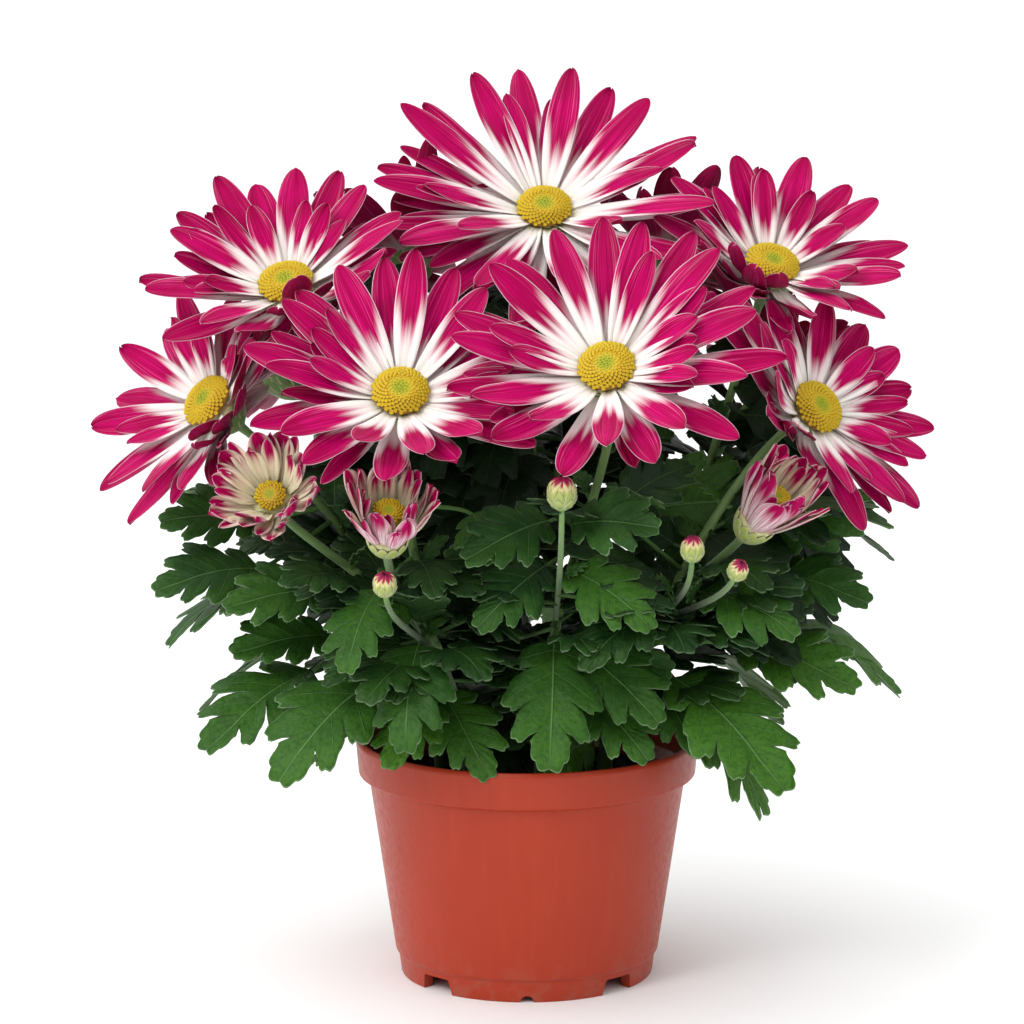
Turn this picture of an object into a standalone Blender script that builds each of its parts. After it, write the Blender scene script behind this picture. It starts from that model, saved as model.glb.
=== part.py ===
"""A pot chrysanthemum in bloom.

Six leafy stems stand in plain holes in the soil of a plastic pot. Each carries daisy-like flower
heads, half-open heads and buds. A head is one solid of ray petals round a green-backed receptacle,
with a yellow disc of florets on it. The stem, its leaves and the green cups under its heads are one
solid too. Lengths below are in millimetres until the meshes are made, which are in metres.
"""

import math
import random
from collections import namedtuple

import bmesh
import bpy
from mathutils import Matrix, Vector
from mathutils.bvhtree import BVHTree
from mathutils.geometry import intersect_point_line

MM = 0.001
GAP = 0.3  # between pieces that touch on the real plant
CLEAR = 0.4  # how far blades are kept from other pieces while they are placed

# The pot: a 12 cm growing pot. Radius and height, from the middle of the floor, up the inside,
# over the rim, and down the outside to the middle of the underside.
POT_SIDES = 24
POT_PROFILE = (
    (0, 7.0), (43.6, 7.0), (53.6, 69.5), (57.0, 72.5), (57.6, 84.0), (59.2, 84.6), (60.0, 83.0),
    (59.0, 71.6), (55.4, 70.2), (46.2, 8.4), (45.2, 7.4), (44.2, 0), (40.6, 0), (40.2, 5.0), (0, 5.0),
)
FOOT_GAP_WIDTH = 13.0  # the slots between the four feet
FOOT_GAP_HEIGHT = 5.6
FOOT_NOTCH_RADIUS = 2.4  # the small half-round notch under each foot
DRAIN_HOLE_RADIUS = 4.0
DRAIN_HOLE_CIRCLE = 27.0

# The soil fills the pot to just under the rim
SOIL_EDGE_HEIGHT = 68.0
SOIL_CROWN = 4.0
SOIL_ROUGHNESS = 1.1
STEM_DEPTH = 32.0  # how far each stem goes down into its hole

# Stems
STEM_SIDES = 6
BRANCH_SPANS = 4
STALK_SPANS = 3
TRUNK_RADIUS = 2.5
BRANCH_RADIUS = 1.5
BUD_STALK_RADIUS = 1.0

# Flower heads
RECEPTACLE = ((0, -5.2), (7.2, -5.2), (8.3, 0), (0, 0))
CALYX = ((0, -15.0), (3.0, -14.0), (7.2, -8.6), (6.8, -5.5), (0, -5.5))
DISC = ((0, 0.3), (7.6, 0.3), (9.8, 2.6), (7.6, 5.2), (3.8, 5.9), (0, 5.2))
HALF_SIZE = 0.8  # the cup of a half-open head, against that of an open one
HALF_DISC_SIZE = 0.55
BUD_CUP = ((0, -5.6), (3.6, -4.0), (4.7, -0.6), (3.4, 2.4), (0, 2.4))
BUD_TIP = ((0, 2.7), (3.2, 2.7), (3.2, 4.2), (0, 6.2))

# Ray petals: an outline that widens to WIDEST of the length and closes in a blunt point
WIDEST = 0.62
ROOT_WIDTH = 0.22
PETAL_STATIONS = (0.0, 0.36, 0.72)
PETAL_KEEL = 1.5

# Leaves, as shares of a leaf's length: along it and out from its midrib. Each row is a lobe of one
# half, from the notch below it to the notch above it, and the last ends at the leaf's tip.
LEAF_LOBES = (
    ((0, 0.015), (0.22, 0.31), (0.33, 0.11)),
    ((0.33, 0.11), (0.47, 0.36), (0.64, 0.33), (0.63, 0.13)),
    ((0.63, 0.13), (0.80, 0.22), (1, 0)),
)
INNER_LEAF_LOBES = (
    ((0, 0.015), (0.20, 0.38), (0.42, 0.16)),
    ((0.42, 0.16), (0.66, 0.34), (1, 0)),
)
LEAF_THICKNESS = 0.8
STALK_HALF_WIDTH = 0.6
STALK_LENGTH = 12
STALK_BEND = math.radians(75)
LEAF_ARCH = 0.12

Stem = namedtuple("Stem", "hole top")
STEMS = {
    "front_left": Stem((-20, -22), (-32, -40, 126)),
    "front_middle": Stem((5, -28), (9, -42, 128)),
    "front_right": Stem((27, -14), (46, -36, 136)),
    "left": Stem((-30, 6), (-52, 2, 138)),
    "right": Stem((28, 16), (50, 16, 138)),
    "back": Stem((-2, 28), (0, 34, 148)),
}

# Heads face a compass direction (0 to the front, 90 to the right) and a height above level. The
# petals of some are pushed up on one side: crowd_at is the clock angle, from the head's right.
Head = namedtuple("Head", "stem centre facing height length rays lift crowd_at crowd")
OPEN_HEADS = {
    "top": Head("back", (6, 20, 266), 0, 51, 60, 22, 15, 0, 0),
    "front_right": Head("front_middle", (26, -75, 224), -10, 43, 54, 22, 15, -95, 12),
    "front_left": Head("front_left", (-42, -70, 215), 2, 45, 48, 22, 17, -90, 14),
    "upper_left": Head("left", (-82, -15, 244), -14, 54, 46, 19, 22, -50, 26),
    "left": Head("left", (-107, -30, 206), -50, 36, 45, 19, 12, -10, 30),
    "upper_right": Head("right", (84, 5, 248), 22, 55, 45, 19, 20, 215, 32),
    "right": Head("front_right", (97, -30, 204), 42, 32, 43, 19, 14, 190, 24),
    "back_upper_left": Head("back", (-42, 48, 250), -150, 58, 50, 16, 16, 0, 0),
    "back_upper_right": Head("back", (48, 54, 246), 150, 56, 50, 16, 16, 0, 0),
    "back_left": Head("left", (-88, 52, 207), -120, 42, 48, 16, 15, 0, 0),
    "back_right": Head("right", (90, 56, 205), 122, 40, 48, 16, 15, 0, 0),
    "back": Head("back", (2, 92, 214), 178, 42, 52, 18, 15, 0, 0),
}
HALF_HEADS = {
    "half_left": Head("front_left", (-85, -62, 179), -12, 32, 23, 10, 44, 0, 0),
    "half_middle": Head("front_left", (-46, -84, 172), 4, 48, 27, 10, 62, 0, 0),
    "half_right": Head("front_right", (77, -64, 173), 42, 44, 29, 10, 64, 0, 0),
}
Bud = namedtuple("Bud", "stem centre facing height size")
BUDS = {
    "bud_middle": Bud("front_middle", (11, -92, 186), 0, 78, 1.0),
    "bud_right": Bud("front_right", (54, -84, 166), 5, 74, 0.8),
    "bud_low_left": Bud("front_left", (-47, -88, 155), -5, 60, 0.8),
    "bud_low_right": Bud("front_right", (69, -84, 159), 25, 50, 0.7),
}

# The large leaves that hang over the front and sides of the pot: stem, foot and tip of the blade
FRONT_LEAVES = (
    ("front_middle", (8, -44, 128), (6, -74, 88)),
    ("front_middle", (14, -44, 126), (42, -68, 102)),
    ("front_right", (50, -38, 113), (86, -68, 77)),
    ("front_right", (68, -20, 121), (108, -40, 107)),
    ("front_right", (82, -18, 145), (117, -36, 136)),
    ("front_right", (55, -46, 145), (86, -66, 134)),
    ("front_middle", (12, -52, 155), (39, -74, 139)),
    ("front_middle", (6, -54, 155), (-12, -79, 133)),
    ("front_middle", (12, -58, 172), (43, -77, 167)),
    ("front_right", (28, -48, 173), (61, -58, 176)),
    ("front_middle", (7, -58, 171), (-22, -79, 160)),
    ("right", (84, -6, 156), (118, -18, 166)),
    ("left", (-74, -22, 112), (-109, -48, 86)),
    ("front_left", (-48, -36, 114), (-84, -68, 82)),
    ("front_left", (-31, -46, 128), (-35, -76, 97)),
    ("front_left", (-30, -38, 126), (-8, -62, 112)),
    ("left", (-92, -18, 147), (-128, -32, 140)),
    ("left", (-94, -4, 161), (-128, -12, 163)),
    ("left", (-68, -16, 123), (-102, -34, 118)),
    ("front_left", (-50, -56, 147), (-60, -79, 122)),
    ("front_left", (-32, -40, 104), (-47, -66, 86)),
    ("front_middle", (18, -38, 108), (41, -62, 89)),
    ("front_left", (-26, -32, 106), (-11, -58, 88)),
    ("left", (-68, -34, 142), (-103, -50, 138)),
    ("front_left", (-16, -44, 172), (-34, -64, 147)),
    ("front_right", (41, -30, 110), (57, -56, 90)),
)
# The other leaves follow a rule: each is a golden share of the arc on from the last. The outer ones
# go round the sides and back, and plainer inner ones fill the middle of the plant.
GOLDEN_SHARE = 0.618034
Rule = namedtuple("Rule", "count seed arc low high inset length upward lobed")
OUTER_RULE = Rule(16, 20, (62, 236), 98, 182, 66, (48, 58), 0.9, True)
INNER_RULE = Rule(22, 11, (-150, 300), 90, 172, 30, (44, 54), 0.2, False)

# What is tried in turn for a petal, until it is clear: extra lift, share of length, turn
PETAL_TRIES = (
    (0, 1, 0), (6, 1, 0), (-6, 1, 0), (0, 1, 4), (0, 1, -4), (12, 1, 0), (-11, 1, 0), (6, 0.92, 4),
    (-6, 0.92, -4), (18, 0.92, 0), (0, 0.84, 0), (12, 0.84, 0), (-12, 0.84, 0), (25, 0.84, 0),
    (0, 0.72, 0), (18, 0.72, 0), (32, 0.66, 0), (0, 0.58, 0), (20, 0.5, 0), (40, 0.5, 0),
)
# And for a leaf: turn about the upright, rise of the tip, share of length, shift away from the axis
LEAF_TRIES = (
    (0, 0, 1, 0), (0, 0, 1, 5), (7, 0, 1, 0), (-7, 0, 1, 0), (0, 5, 1, 3), (0, -5, 1, 3), (0, 0, 1, 10),
    (7, 0, 1, 6), (-7, 0, 1, 6), (13, 4, 1, 0), (-13, 4, 1, 0), (0, 6, 0.95, 13), (7, -8, 0.95, 6),
    (-7, -8, 0.95, 6), (0, 9, 0.9, 0), (20, 0, 0.9, 4), (-20, 0, 0.9, 4), (0, 0, 0.8, 8),
    (14, 8, 0.8, 0), (-14, 8, 0.8, 0), (0, -8, 0.75, 5), (0, 4, 0.65, 0), (25, 4, 0.65, 4),
    (-25, 4, 0.65, 4), (40, 0, 0.9, 4), (-40, 0, 0.9, 4), (60, 5, 0.8, 6), (-60, 5, 0.8, 6),
    (0, 12, 0.8, 12), (30, -8, 0.8, 8), (-30, -8, 0.8, 8),
)

Petal = namedtuple("Petal", "turn root drop length width lift curl twist")
Leaf = namedtuple("Leaf", "stem foot tip face stem_point lobed")


def clear_scene():
    for thing in list(bpy.data.objects):
        bpy.data.objects.remove(thing, do_unlink=True)


def material(name, colour, roughness):
    """One Principled material, made the first time that it is asked for."""
    made = bpy.data.materials.get(name)
    if made is None:
        made = bpy.data.materials.new(name)
        made.use_nodes = True
        shader = made.node_tree.nodes["Principled BSDF"]
        shader.inputs["Base Color"].default_value = (*colour, 1)
        shader.inputs["Roughness"].default_value = roughness
        made.diffuse_color = (*colour, 1)
    return made


def add_object(name, points, faces, finish=None, collection=None):
    """A mesh object from points in millimetres."""
    mesh = bpy.data.meshes.new(name)
    mesh.from_pydata([Vector(point) * MM for point in points], [], faces)
    thing = bpy.data.objects.new(name, mesh)
    (collection or bpy.context.scene.collection).objects.link(thing)
    if finish is not None:
        mesh.materials.append(finish)
    return thing


def turned(profile, sides, place=None, relief=None):
    """Points and faces of a profile turned about +Z. Its first and last points are on the axis."""
    place = place or Matrix()
    rings = []
    points = []
    for index, (radius, height) in enumerate(profile):
        ring = []
        for side in range(1 if radius == 0 else sides):
            out, up = relief(index, side) if relief else (0, 0)
            angle = 2 * math.pi * side / sides
            far = radius + out if radius else 0
            ring.append(len(points))
            points.append(place @ Vector((far * math.cos(angle), far * math.sin(angle), height + up)))
        rings.append(ring)
    faces = []
    for low, high in zip(rings, rings[1:]):
        for side in range(sides):
            corner = (low[side % len(low)], low[(side + 1) % sides % len(low)],
                      high[(side + 1) % sides % len(high)], high[side % len(high)])
            face = tuple(dict.fromkeys(corner))
            if len(face) > 2:
                faces.append(face)
    return points, faces


def head_place(centre, facing, height):
    """A matrix whose +Z is the way a head faces, +X its right, seen from the front, and +Y its top."""
    level = math.cos(math.radians(height))
    normal = Vector((math.sin(math.radians(facing)) * level, -math.cos(math.radians(facing)) * level,
                     math.sin(math.radians(height))))
    right = Vector((0, 0, 1)).cross(normal).normalized()
    top = normal.cross(right)
    place = Matrix((right, top, normal)).transposed().to_4x4()
    place.translation = Vector(centre)
    return place


def tube(path, radii, sides, place=None):
    """Points and faces of a closed tube along a path, its ends flat."""
    points = []
    across = Vector((1, 0, 0))
    for index, centre in enumerate(path):
        before = path[max(index - 1, 0)]
        after = path[min(index + 1, len(path) - 1)]
        along = (after - before).normalized()
        across = (across - along * across.dot(along)).normalized()
        other = along.cross(across)
        for side in range(sides):
            angle = 2 * math.pi * side / sides
            points.append(centre + (across * math.cos(angle) + other * math.sin(angle)) * radii[index])
    faces = [tuple(range(sides))[::-1], tuple(range(len(points) - sides, len(points)))]
    for station in range(len(path) - 1):
        first = station * sides
        for side in range(sides):
            beside = (side + 1) % sides
            faces.append((first + side, first + beside, first + sides + beside, first + sides + side))
    return points, faces


def smooth_path(start, start_way, end, end_way, stations):
    """Points on the curve that leaves start along start_way and reaches end along end_way."""
    points = []
    for index in range(stations + 1):
        t = index / stations
        points.append(start * (2 * t ** 3 - 3 * t ** 2 + 1) + start_way * (t ** 3 - 2 * t ** 2 + t)
                      + end * (3 * t ** 2 - 2 * t ** 3) + end_way * (t ** 3 - t ** 2))
    return points


def petal_half_width(petal, t):
    if t < WIDEST:
        share = 1 - (1 - ROOT_WIDTH) * ((WIDEST - t) / WIDEST) ** 2
    else:
        share = max(1 - ((t - WIDEST) / (1 - WIDEST)) ** 2, 0) ** 0.75
    return petal.width / 2 * share


def petal_point(petal, t, across, up):
    """A point of a petal in its head's frame: t along it, and across and up in millimetres."""
    angle = math.radians(petal.lift + petal.curl * t)
    chord = math.radians(petal.lift + petal.curl * t / 2)
    twist = math.radians(petal.twist) * t
    side = across * math.cos(twist) - up * math.sin(twist)
    rise = across * math.sin(twist) + up * math.cos(twist)
    far = petal.root + petal.length * t * math.cos(chord) - rise * math.sin(angle)
    height = petal.drop + petal.length * t * math.sin(chord) + rise * math.cos(angle)
    turn = math.radians(petal.turn)
    return Vector((far * math.cos(turn) - side * math.sin(turn),
                   far * math.sin(turn) + side * math.cos(turn), height))


def petal_mesh(petal, place, margin=0.0):
    """A petal as a keeled blade: flat above, with a rib below, and a single point as its tip."""
    points = []
    for t in PETAL_STATIONS:
        half = petal_half_width(petal, t) + margin
        keel = PETAL_KEEL * (0.75 + 0.25 * t / WIDEST) + margin
        points += [petal_point(petal, t, -half, margin), petal_point(petal, t, half, margin),
                   petal_point(petal, t, 0, -keel)]
    points.append(petal_point(petal, 1 + margin / petal.length, 0, 0))
    faces = [(0, 1, 2)]
    for first in range(0, 3 * (len(PETAL_STATIONS) - 1), 3):
        for a, b in ((0, 1), (1, 2), (2, 0)):
            faces.append((first + b, first + a, first + 3 + a))
            faces.append((first + b, first + 3 + a, first + 3 + b))
    last = len(points) - 4
    faces += [(last + 1, last, last + 3), (last + 2, last + 1, last + 3), (last, last + 2, last + 3)]
    return [place @ point for point in points], faces


def leaf_mesh(leaf, margin=0.0, petiole=True):
    """A lobed blade, folded at its midrib and arched, with its stalk back into the stem."""
    length = (leaf.tip - leaf.foot).length
    along = (leaf.tip - leaf.foot) / length
    above = (leaf.face - along * leaf.face.dot(along)).normalized()
    across = along.cross(above)
    half_thick = above * (LEAF_THICKNESS / 2 + margin)

    def surface(u, out):
        """Lobes lift off the midrib and droop again towards their ends."""
        wide = out * length + math.copysign(margin, out) * (out != 0)
        lift = 0.22 * abs(wide) - 0.6 * wide * wide / length + length * LEAF_ARCH * 4 * u * (1 - u)
        return leaf.foot + along * length * u + across * wide + above * lift

    lobes = LEAF_LOBES if leaf.lobed else INNER_LEAF_LOBES
    points = [surface(lobe[0][0], 0) for lobe in lobes] + [surface(1, 0)]
    end = len(lobes)
    upper = []
    rims = []
    for side in (1, -1):
        rim = []
        for lobe_index, lobe in enumerate(lobes):
            for u, out in lobe[1 if lobe_index else 0:]:
                if out:
                    rim.append(len(points))
                    points.append(surface(u, out * side))
                else:
                    rim.append(end)
            last = len(rim) - 1
            fan = rim[last - len(lobe) + 1:]
            fan += [] if rim[-1] == end else [lobe_index + 1]
            for b, c in zip(fan, fan[1:]):
                upper.append((lobe_index, b, c)[::side])
        rims.append(rim)
    total = len(points)
    faces = upper + [tuple(i + total for i in reversed(face)) for face in upper]
    points = [point + half_thick for point in points] + [point - half_thick for point in points]
    for rim, side in zip(rims, (1, -1)):
        for a, b in zip(rim, rim[1:]):
            faces += [(b, a, a + total)[::side], (b, a + total, b + total)[::side]]
    right, left = rims[0][0], rims[1][0]
    if not petiole:
        faces += [(right, 0, total), (right, total, right + total)]
        faces += [(0, left, left + total), (0, left + total, total)]
        return points, faces
    wide = across * (STALK_HALF_WIDTH + margin)
    thick = above * (STALK_HALF_WIDTH + margin)
    end = len(points)
    points += [leaf.stem_point + wide + thick, leaf.stem_point - wide + thick,
               leaf.stem_point - wide - thick, leaf.stem_point + wide - thick]
    faces += [(end, 0, right), (end, end + 1, 0), (0, end + 1, left)]
    faces += [(end + 2, total, left + total), (end + 2, end + 3, total), (total, end + 3, right + total)]
    faces += [(left, end + 1, end + 2), (left, end + 2, left + total)]
    faces += [(right + total, end + 3, end), (right + total, end, right), (end + 3, end + 2, end + 1, end)]
    return points, faces


class Space:
    """What is already placed, so that the next blade can be kept clear of other nodes."""

    def __init__(self):
        self.taken = []

    def add(self, node, points, faces):
        low = [min(point[axis] for point in points) for axis in range(3)]
        high = [max(point[axis] for point in points) for axis in range(3)]
        self.taken.append((node, low, high, BVHTree.FromPolygons(points, faces)))

    def is_clear(self, points, faces, besides=()):
        low = [min(point[axis] for point in points) for axis in range(3)]
        high = [max(point[axis] for point in points) for axis in range(3)]
        tree = None
        for node, other_low, other_high, other in self.taken:
            if node in besides:
                continue
            if any(low[axis] > other_high[axis] or high[axis] < other_low[axis] for axis in range(3)):
                continue
            tree = tree or BVHTree.FromPolygons(points, faces)
            if tree.overlap(other):
                return False
        return True


def outward(thing):
    """Turn every face of a closed mesh outwards."""
    shape = bmesh.new()
    shape.from_mesh(thing.data)
    bmesh.ops.recalc_face_normals(shape, faces=shape.faces)
    shape.to_mesh(thing.data)
    shape.free()


def shells(shape):
    """The faces of each separate closed skin."""
    left = set(shape.faces)
    while left:
        found = {left.pop()}
        edge = list(found)
        while edge:
            near = {other for side in edge.pop().edges for other in side.link_faces} & left
            left -= near
            found |= near
            edge += near
        yield found


def keep_outer_skin(mesh):
    """Drop loose scraps, and fill hollows by dropping the skins inside the largest one."""
    shape = bmesh.new()
    shape.from_mesh(mesh)
    bmesh.ops.dissolve_degenerate(shape, dist=2e-6, edges=shape.edges)
    found = sorted(shells(shape), key=lambda faces: sum(face.calc_area() for face in faces))
    for faces in found[:-1]:
        bmesh.ops.delete(shape, geom=list(faces), context="FACES")
    shape.to_mesh(mesh)
    shape.free()


def is_closed(mesh):
    shape = bmesh.new()
    shape.from_mesh(mesh)
    closed = all(len(edge.link_faces) == 2 for edge in shape.edges)
    shape.free()
    return closed


def fuse(name, base, pieces, finish):
    """One object from a base and the pieces that grow from it, by one Boolean union."""
    thing = add_object(name, *base, finish)
    outward(thing)
    group = bpy.data.collections.new(name + "_pieces")
    bpy.context.scene.collection.children.link(group)
    for index, piece in enumerate(pieces):
        outward(add_object(f"{name}_piece_{index}", *piece, collection=group))
    join = thing.modifiers.new("Fuse", "BOOLEAN")
    join.operation = "UNION"
    join.operand_type = "COLLECTION"
    join.collection = group
    for solver in ("EXACT", "MANIFOLD"):
        join.solver = solver
        graph = bpy.context.evaluated_depsgraph_get()
        fused = bpy.data.meshes.new_from_object(thing.evaluated_get(graph))
        keep_outer_skin(fused)
        if is_closed(fused):
            break
    thing.modifiers.remove(join)
    thing.data = fused
    fused.materials.clear()
    fused.materials.append(finish)
    for piece in list(group.objects):
        bpy.data.objects.remove(piece, do_unlink=True)
    bpy.data.collections.remove(group)
    return thing


def cut(thing, cutters):
    """Take each cutter out of a thing, and drop the cutters."""
    for cutter in cutters:
        outward(cutter)
        hole = thing.modifiers.new("Cut", "BOOLEAN")
        hole.operation = "DIFFERENCE"
        hole.solver = "EXACT"
        hole.object = cutter
        graph = bpy.context.evaluated_depsgraph_get()
        thing.data = bpy.data.meshes.new_from_object(thing.evaluated_get(graph))
        thing.modifiers.remove(hole)
        bpy.data.objects.remove(cutter, do_unlink=True)


def foot_gap(angle):
    """A radial wedge under the pot, wider at the bottom, that parts two feet."""
    near, far, low, high = 36.0, 50.0, -1.0, FOOT_GAP_HEIGHT
    wide, narrow = FOOT_GAP_WIDTH / 2 + 0.6, FOOT_GAP_WIDTH / 2 - 0.6
    points = [(x, side * half, z) for x in (near, far) for z, half in ((low, wide), (high, narrow))
              for side in (-1, 1)]
    turn = Matrix.Rotation(math.radians(angle), 4, "Z")
    faces = [(0, 1, 3, 2), (4, 6, 7, 5), (0, 4, 5, 1), (2, 3, 7, 6), (0, 2, 6, 4), (1, 5, 7, 3)]
    return add_object("foot_gap", [turn @ Vector(point) for point in points], faces)


def foot_notch(angle):
    """A short level bar across a foot, half of it below the ground."""
    turn = Matrix.Rotation(math.radians(angle), 4, "Z")
    path = [turn @ Vector((far, 0, 0)) for far in (38.0, 48.0)]
    return add_object("foot_notch", *tube(path, (FOOT_NOTCH_RADIUS,) * 2, 8))


def drain_hole(angle):
    turn = Matrix.Rotation(math.radians(angle), 4, "Z")
    path = [turn @ Vector((DRAIN_HOLE_CIRCLE, 0, height)) for height in (3.0, 9.0)]
    return add_object("drain_hole", *tube(path, (DRAIN_HOLE_RADIUS,) * 2, 6))


def make_pot(space):
    """The pot: a thin moulded wall with a rolled rim, on four feet with notches."""
    plastic = material("pot_plastic", (0.42, 0.085, 0.045), 0.42)
    points, faces = turned(POT_PROFILE, POT_SIDES)
    space.add("pot", points, faces)
    pot = add_object("pot", points, faces, plastic)
    outward(pot)
    cutters = [foot_gap(angle) for angle in (45, 135, 225, 315)]
    cutters += [foot_notch(angle) for angle in (0, 90, 180, 270)]
    cutters += [drain_hole(angle) for angle in (0, 90, 180, 270)]
    cut(pot, cutters)
    pot.data.shade_smooth()
    pot.data.set_sharp_from_angle(angle=math.radians(30))


def make_soil(space):
    """The soil: it fills the pot to its wall, with a crumbly, slightly crowned top."""
    dark = material("soil", (0.012, 0.008, 0.006), 0.95)
    draw = random.Random(11)
    gap = GAP / math.cos(math.pi / POT_SIDES)
    low, high = POT_PROFILE[1], POT_PROFILE[2]
    slope = (high[0] - low[0]) / (high[1] - low[1])
    floor = low[1] + GAP
    edge = high[0] - (high[1] - SOIL_EDGE_HEIGHT) * slope - gap
    profile = [(0, floor), (low[0] + GAP * slope - gap, floor), (edge, SOIL_EDGE_HEIGHT)]
    for share in (0.6,):
        profile.append((edge * share, SOIL_EDGE_HEIGHT + SOIL_CROWN * (1 - share ** 2)))
    profile.append((0, SOIL_EDGE_HEIGHT + SOIL_CROWN))

    def crumbs(ring, side):
        return (0, draw.uniform(-1, 1) * SOIL_ROUGHNESS) if ring == 3 else (0, 0)

    points, faces = turned(profile, POT_SIDES, relief=crumbs)
    space.add("soil", points, faces)
    soil = add_object("soil", points, faces, dark)
    outward(soil)
    holes = []
    for stem in STEMS.values():
        bottom = SOIL_EDGE_HEIGHT - STEM_DEPTH - GAP
        path = [Vector((*stem.hole, height)) for height in (bottom, SOIL_EDGE_HEIGHT + 12)]
        radius = TRUNK_RADIUS + GAP / math.cos(math.pi / STEM_SIDES)
        holes.append(add_object("stem_hole", *tube(path, (radius,) * 2, STEM_SIDES)))
    cut(soil, holes)


def trunk_path(stem):
    """Straight up out of its hole, then leaning outwards to where the branches part."""
    foot = Vector((*stem.hole, SOIL_EDGE_HEIGHT - STEM_DEPTH))
    ground = Vector((*stem.hole, SOIL_EDGE_HEIGHT + 8))
    top = Vector(stem.top)
    rise = Vector((0, 0, (top - ground).length))
    curve = smooth_path(ground, rise * 0.9, top, (top - ground) * 0.9, 3)
    return [foot, *curve]


def branch_path(stem, below, way, order, spans, reach=1.0):
    """From the upper trunk to the underside of a head, which it reaches along way."""
    trunk = trunk_path(stem)
    start = trunk[-1].lerp(trunk[-2], 0.06 + 0.2 * order)
    distance = (below - start).length
    first = (trunk[-1] - trunk[-2]).normalized()
    return smooth_path(start, first * distance * 0.8, below, way * distance * reach, spans)


def axis_of(place):
    return place.to_3x3() @ Vector((0, 0, 1))


def stem_parts(space):
    """For each stem, its trunk, branches and green cups, and the middle lines of its stems."""
    parts = {}
    lines = {}
    order = dict.fromkeys(STEMS, -1)
    for name, stem in STEMS.items():
        trunk = trunk_path(stem)
        radii = [TRUNK_RADIUS] * 2 + [TRUNK_RADIUS * share for share in (0.95, 0.9, 0.85)]
        parts[name] = [tube(trunk, radii, STEM_SIDES)]
        lines[name] = [trunk[1:]]
    for table, size in ((OPEN_HEADS, 1.0), (HALF_HEADS, HALF_SIZE)):
        for head in table.values():
            place = head_place(head.centre, head.facing, head.height)
            cup = [(radius * size, height * size) for radius, height in CALYX]
            top = RECEPTACLE[0][1] * size - GAP
            cup[-2:] = [(CALYX[-2][0] * size, top), (0, top)]
            parts[head.stem].append(turned(cup, 6, place))
            order[head.stem] += 1
            path = branch_path(STEMS[head.stem], place @ Vector((0, 0, -12 * size)), axis_of(place),
                               order[head.stem], BRANCH_SPANS)
            parts[head.stem].append(tube(path, [BRANCH_RADIUS] * len(path), 4))
            lines[head.stem].append(path[:-1])
    for bud in BUDS.values():
        place = head_place(bud.centre, bud.facing, bud.height)
        cup = [(radius * bud.size, height * bud.size) for radius, height in BUD_CUP]
        parts[bud.stem].append(turned(cup, 6, place))
        order[bud.stem] += 1
        path = branch_path(STEMS[bud.stem], place @ Vector((0, 0, -5 * bud.size)), axis_of(place),
                           order[bud.stem], STALK_SPANS, 0.8)
        parts[bud.stem].append(tube(path, [BUD_STALK_RADIUS] * len(path), 4))
        lines[bud.stem].append(path[:-1])
    for name, pieces in parts.items():
        for piece in pieces:
            space.add("stem_" + name, *piece)
    return parts, lines


def head_petals(head, name, half_open):
    """The petals of a head before they are fitted: two rows, drawn from the head's own seed."""
    draw = random.Random("petals " + name)
    size = HALF_SIZE if half_open else 1.0
    petals = []
    for index in range(head.rays):
        inner = index % 2
        turn = 360 * (index + draw.uniform(-0.15, 0.15)) / head.rays
        crowding = max(math.cos(math.radians(turn - head.crowd_at)), 0) ** 2 * head.crowd
        lift = head.lift + (5 if inner else -5) + 0.2 * crowding + draw.uniform(-2, 2)
        length = head.length * draw.uniform(0.92, 1.04) * (0.95 if inner else 1)
        length *= 1 - 0.25 * crowding / 30
        width = (7.0 if half_open else 11.0) * draw.uniform(0.92, 1.06)
        curl = draw.uniform(14, 24) if half_open else draw.uniform(-6, 8) + 1.6 * crowding
        root = 6.4 if half_open else 5.4
        drop = -1.4 if inner else -3.6
        petals.append(Petal(turn, root * size, drop * size, length, width, lift, curl,
                            twist=draw.uniform(-9, 9)))
    return petals


def fit_petal(space, node, petal, place):
    """The first try for a petal that is clear of every other node, or nothing."""
    for lift, share, turn in PETAL_TRIES:
        tried = petal._replace(lift=petal.lift + lift, length=petal.length * share,
                               turn=petal.turn + turn)
        if space.is_clear(*petal_mesh(tried, place, CLEAR), besides=(node,)):
            return tried
    return None


def make_heads(space, table, half_open):
    size = HALF_SIZE if half_open else 1.0
    disc_size = HALF_DISC_SIZE if half_open else 1.0
    yellow = material("disc_florets", (0.62, 0.5, 0.02), 0.7)
    pink = material("ray_petals", (0.6, 0.012, 0.16), 0.5)
    for name, head in table.items():
        place = head_place(head.centre, head.facing, head.height)
        profile = [(radius * disc_size, GAP + (height - GAP) * disc_size) for radius, height in DISC]
        sides = 8 if half_open else 11

        def florets(ring, side):
            return (0, 0.55 if (ring + side) % 2 else -0.35) if ring in (2, 3, 4) else (0, 0)

        disc = turned(profile, sides, place, florets)
        space.add(f"disc_{name}", *disc)
        outward(add_object(f"disc_{name}", *disc, yellow))
    for name, head in table.items():
        node = f"rays_{name}"
        place = head_place(head.centre, head.facing, head.height)
        pieces = []
        for petal in head_petals(head, name, half_open):
            fitted = fit_petal(space, node, petal, place)
            if fitted is None:
                continue
            piece = petal_mesh(fitted, place)
            space.add(node, *piece)
            pieces.append(piece)
        receptacle = turned([(radius * size, height * size) for radius, height in RECEPTACLE], 8, place)
        space.add(node, *receptacle)
        fuse(node, receptacle, pieces, pink)


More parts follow.
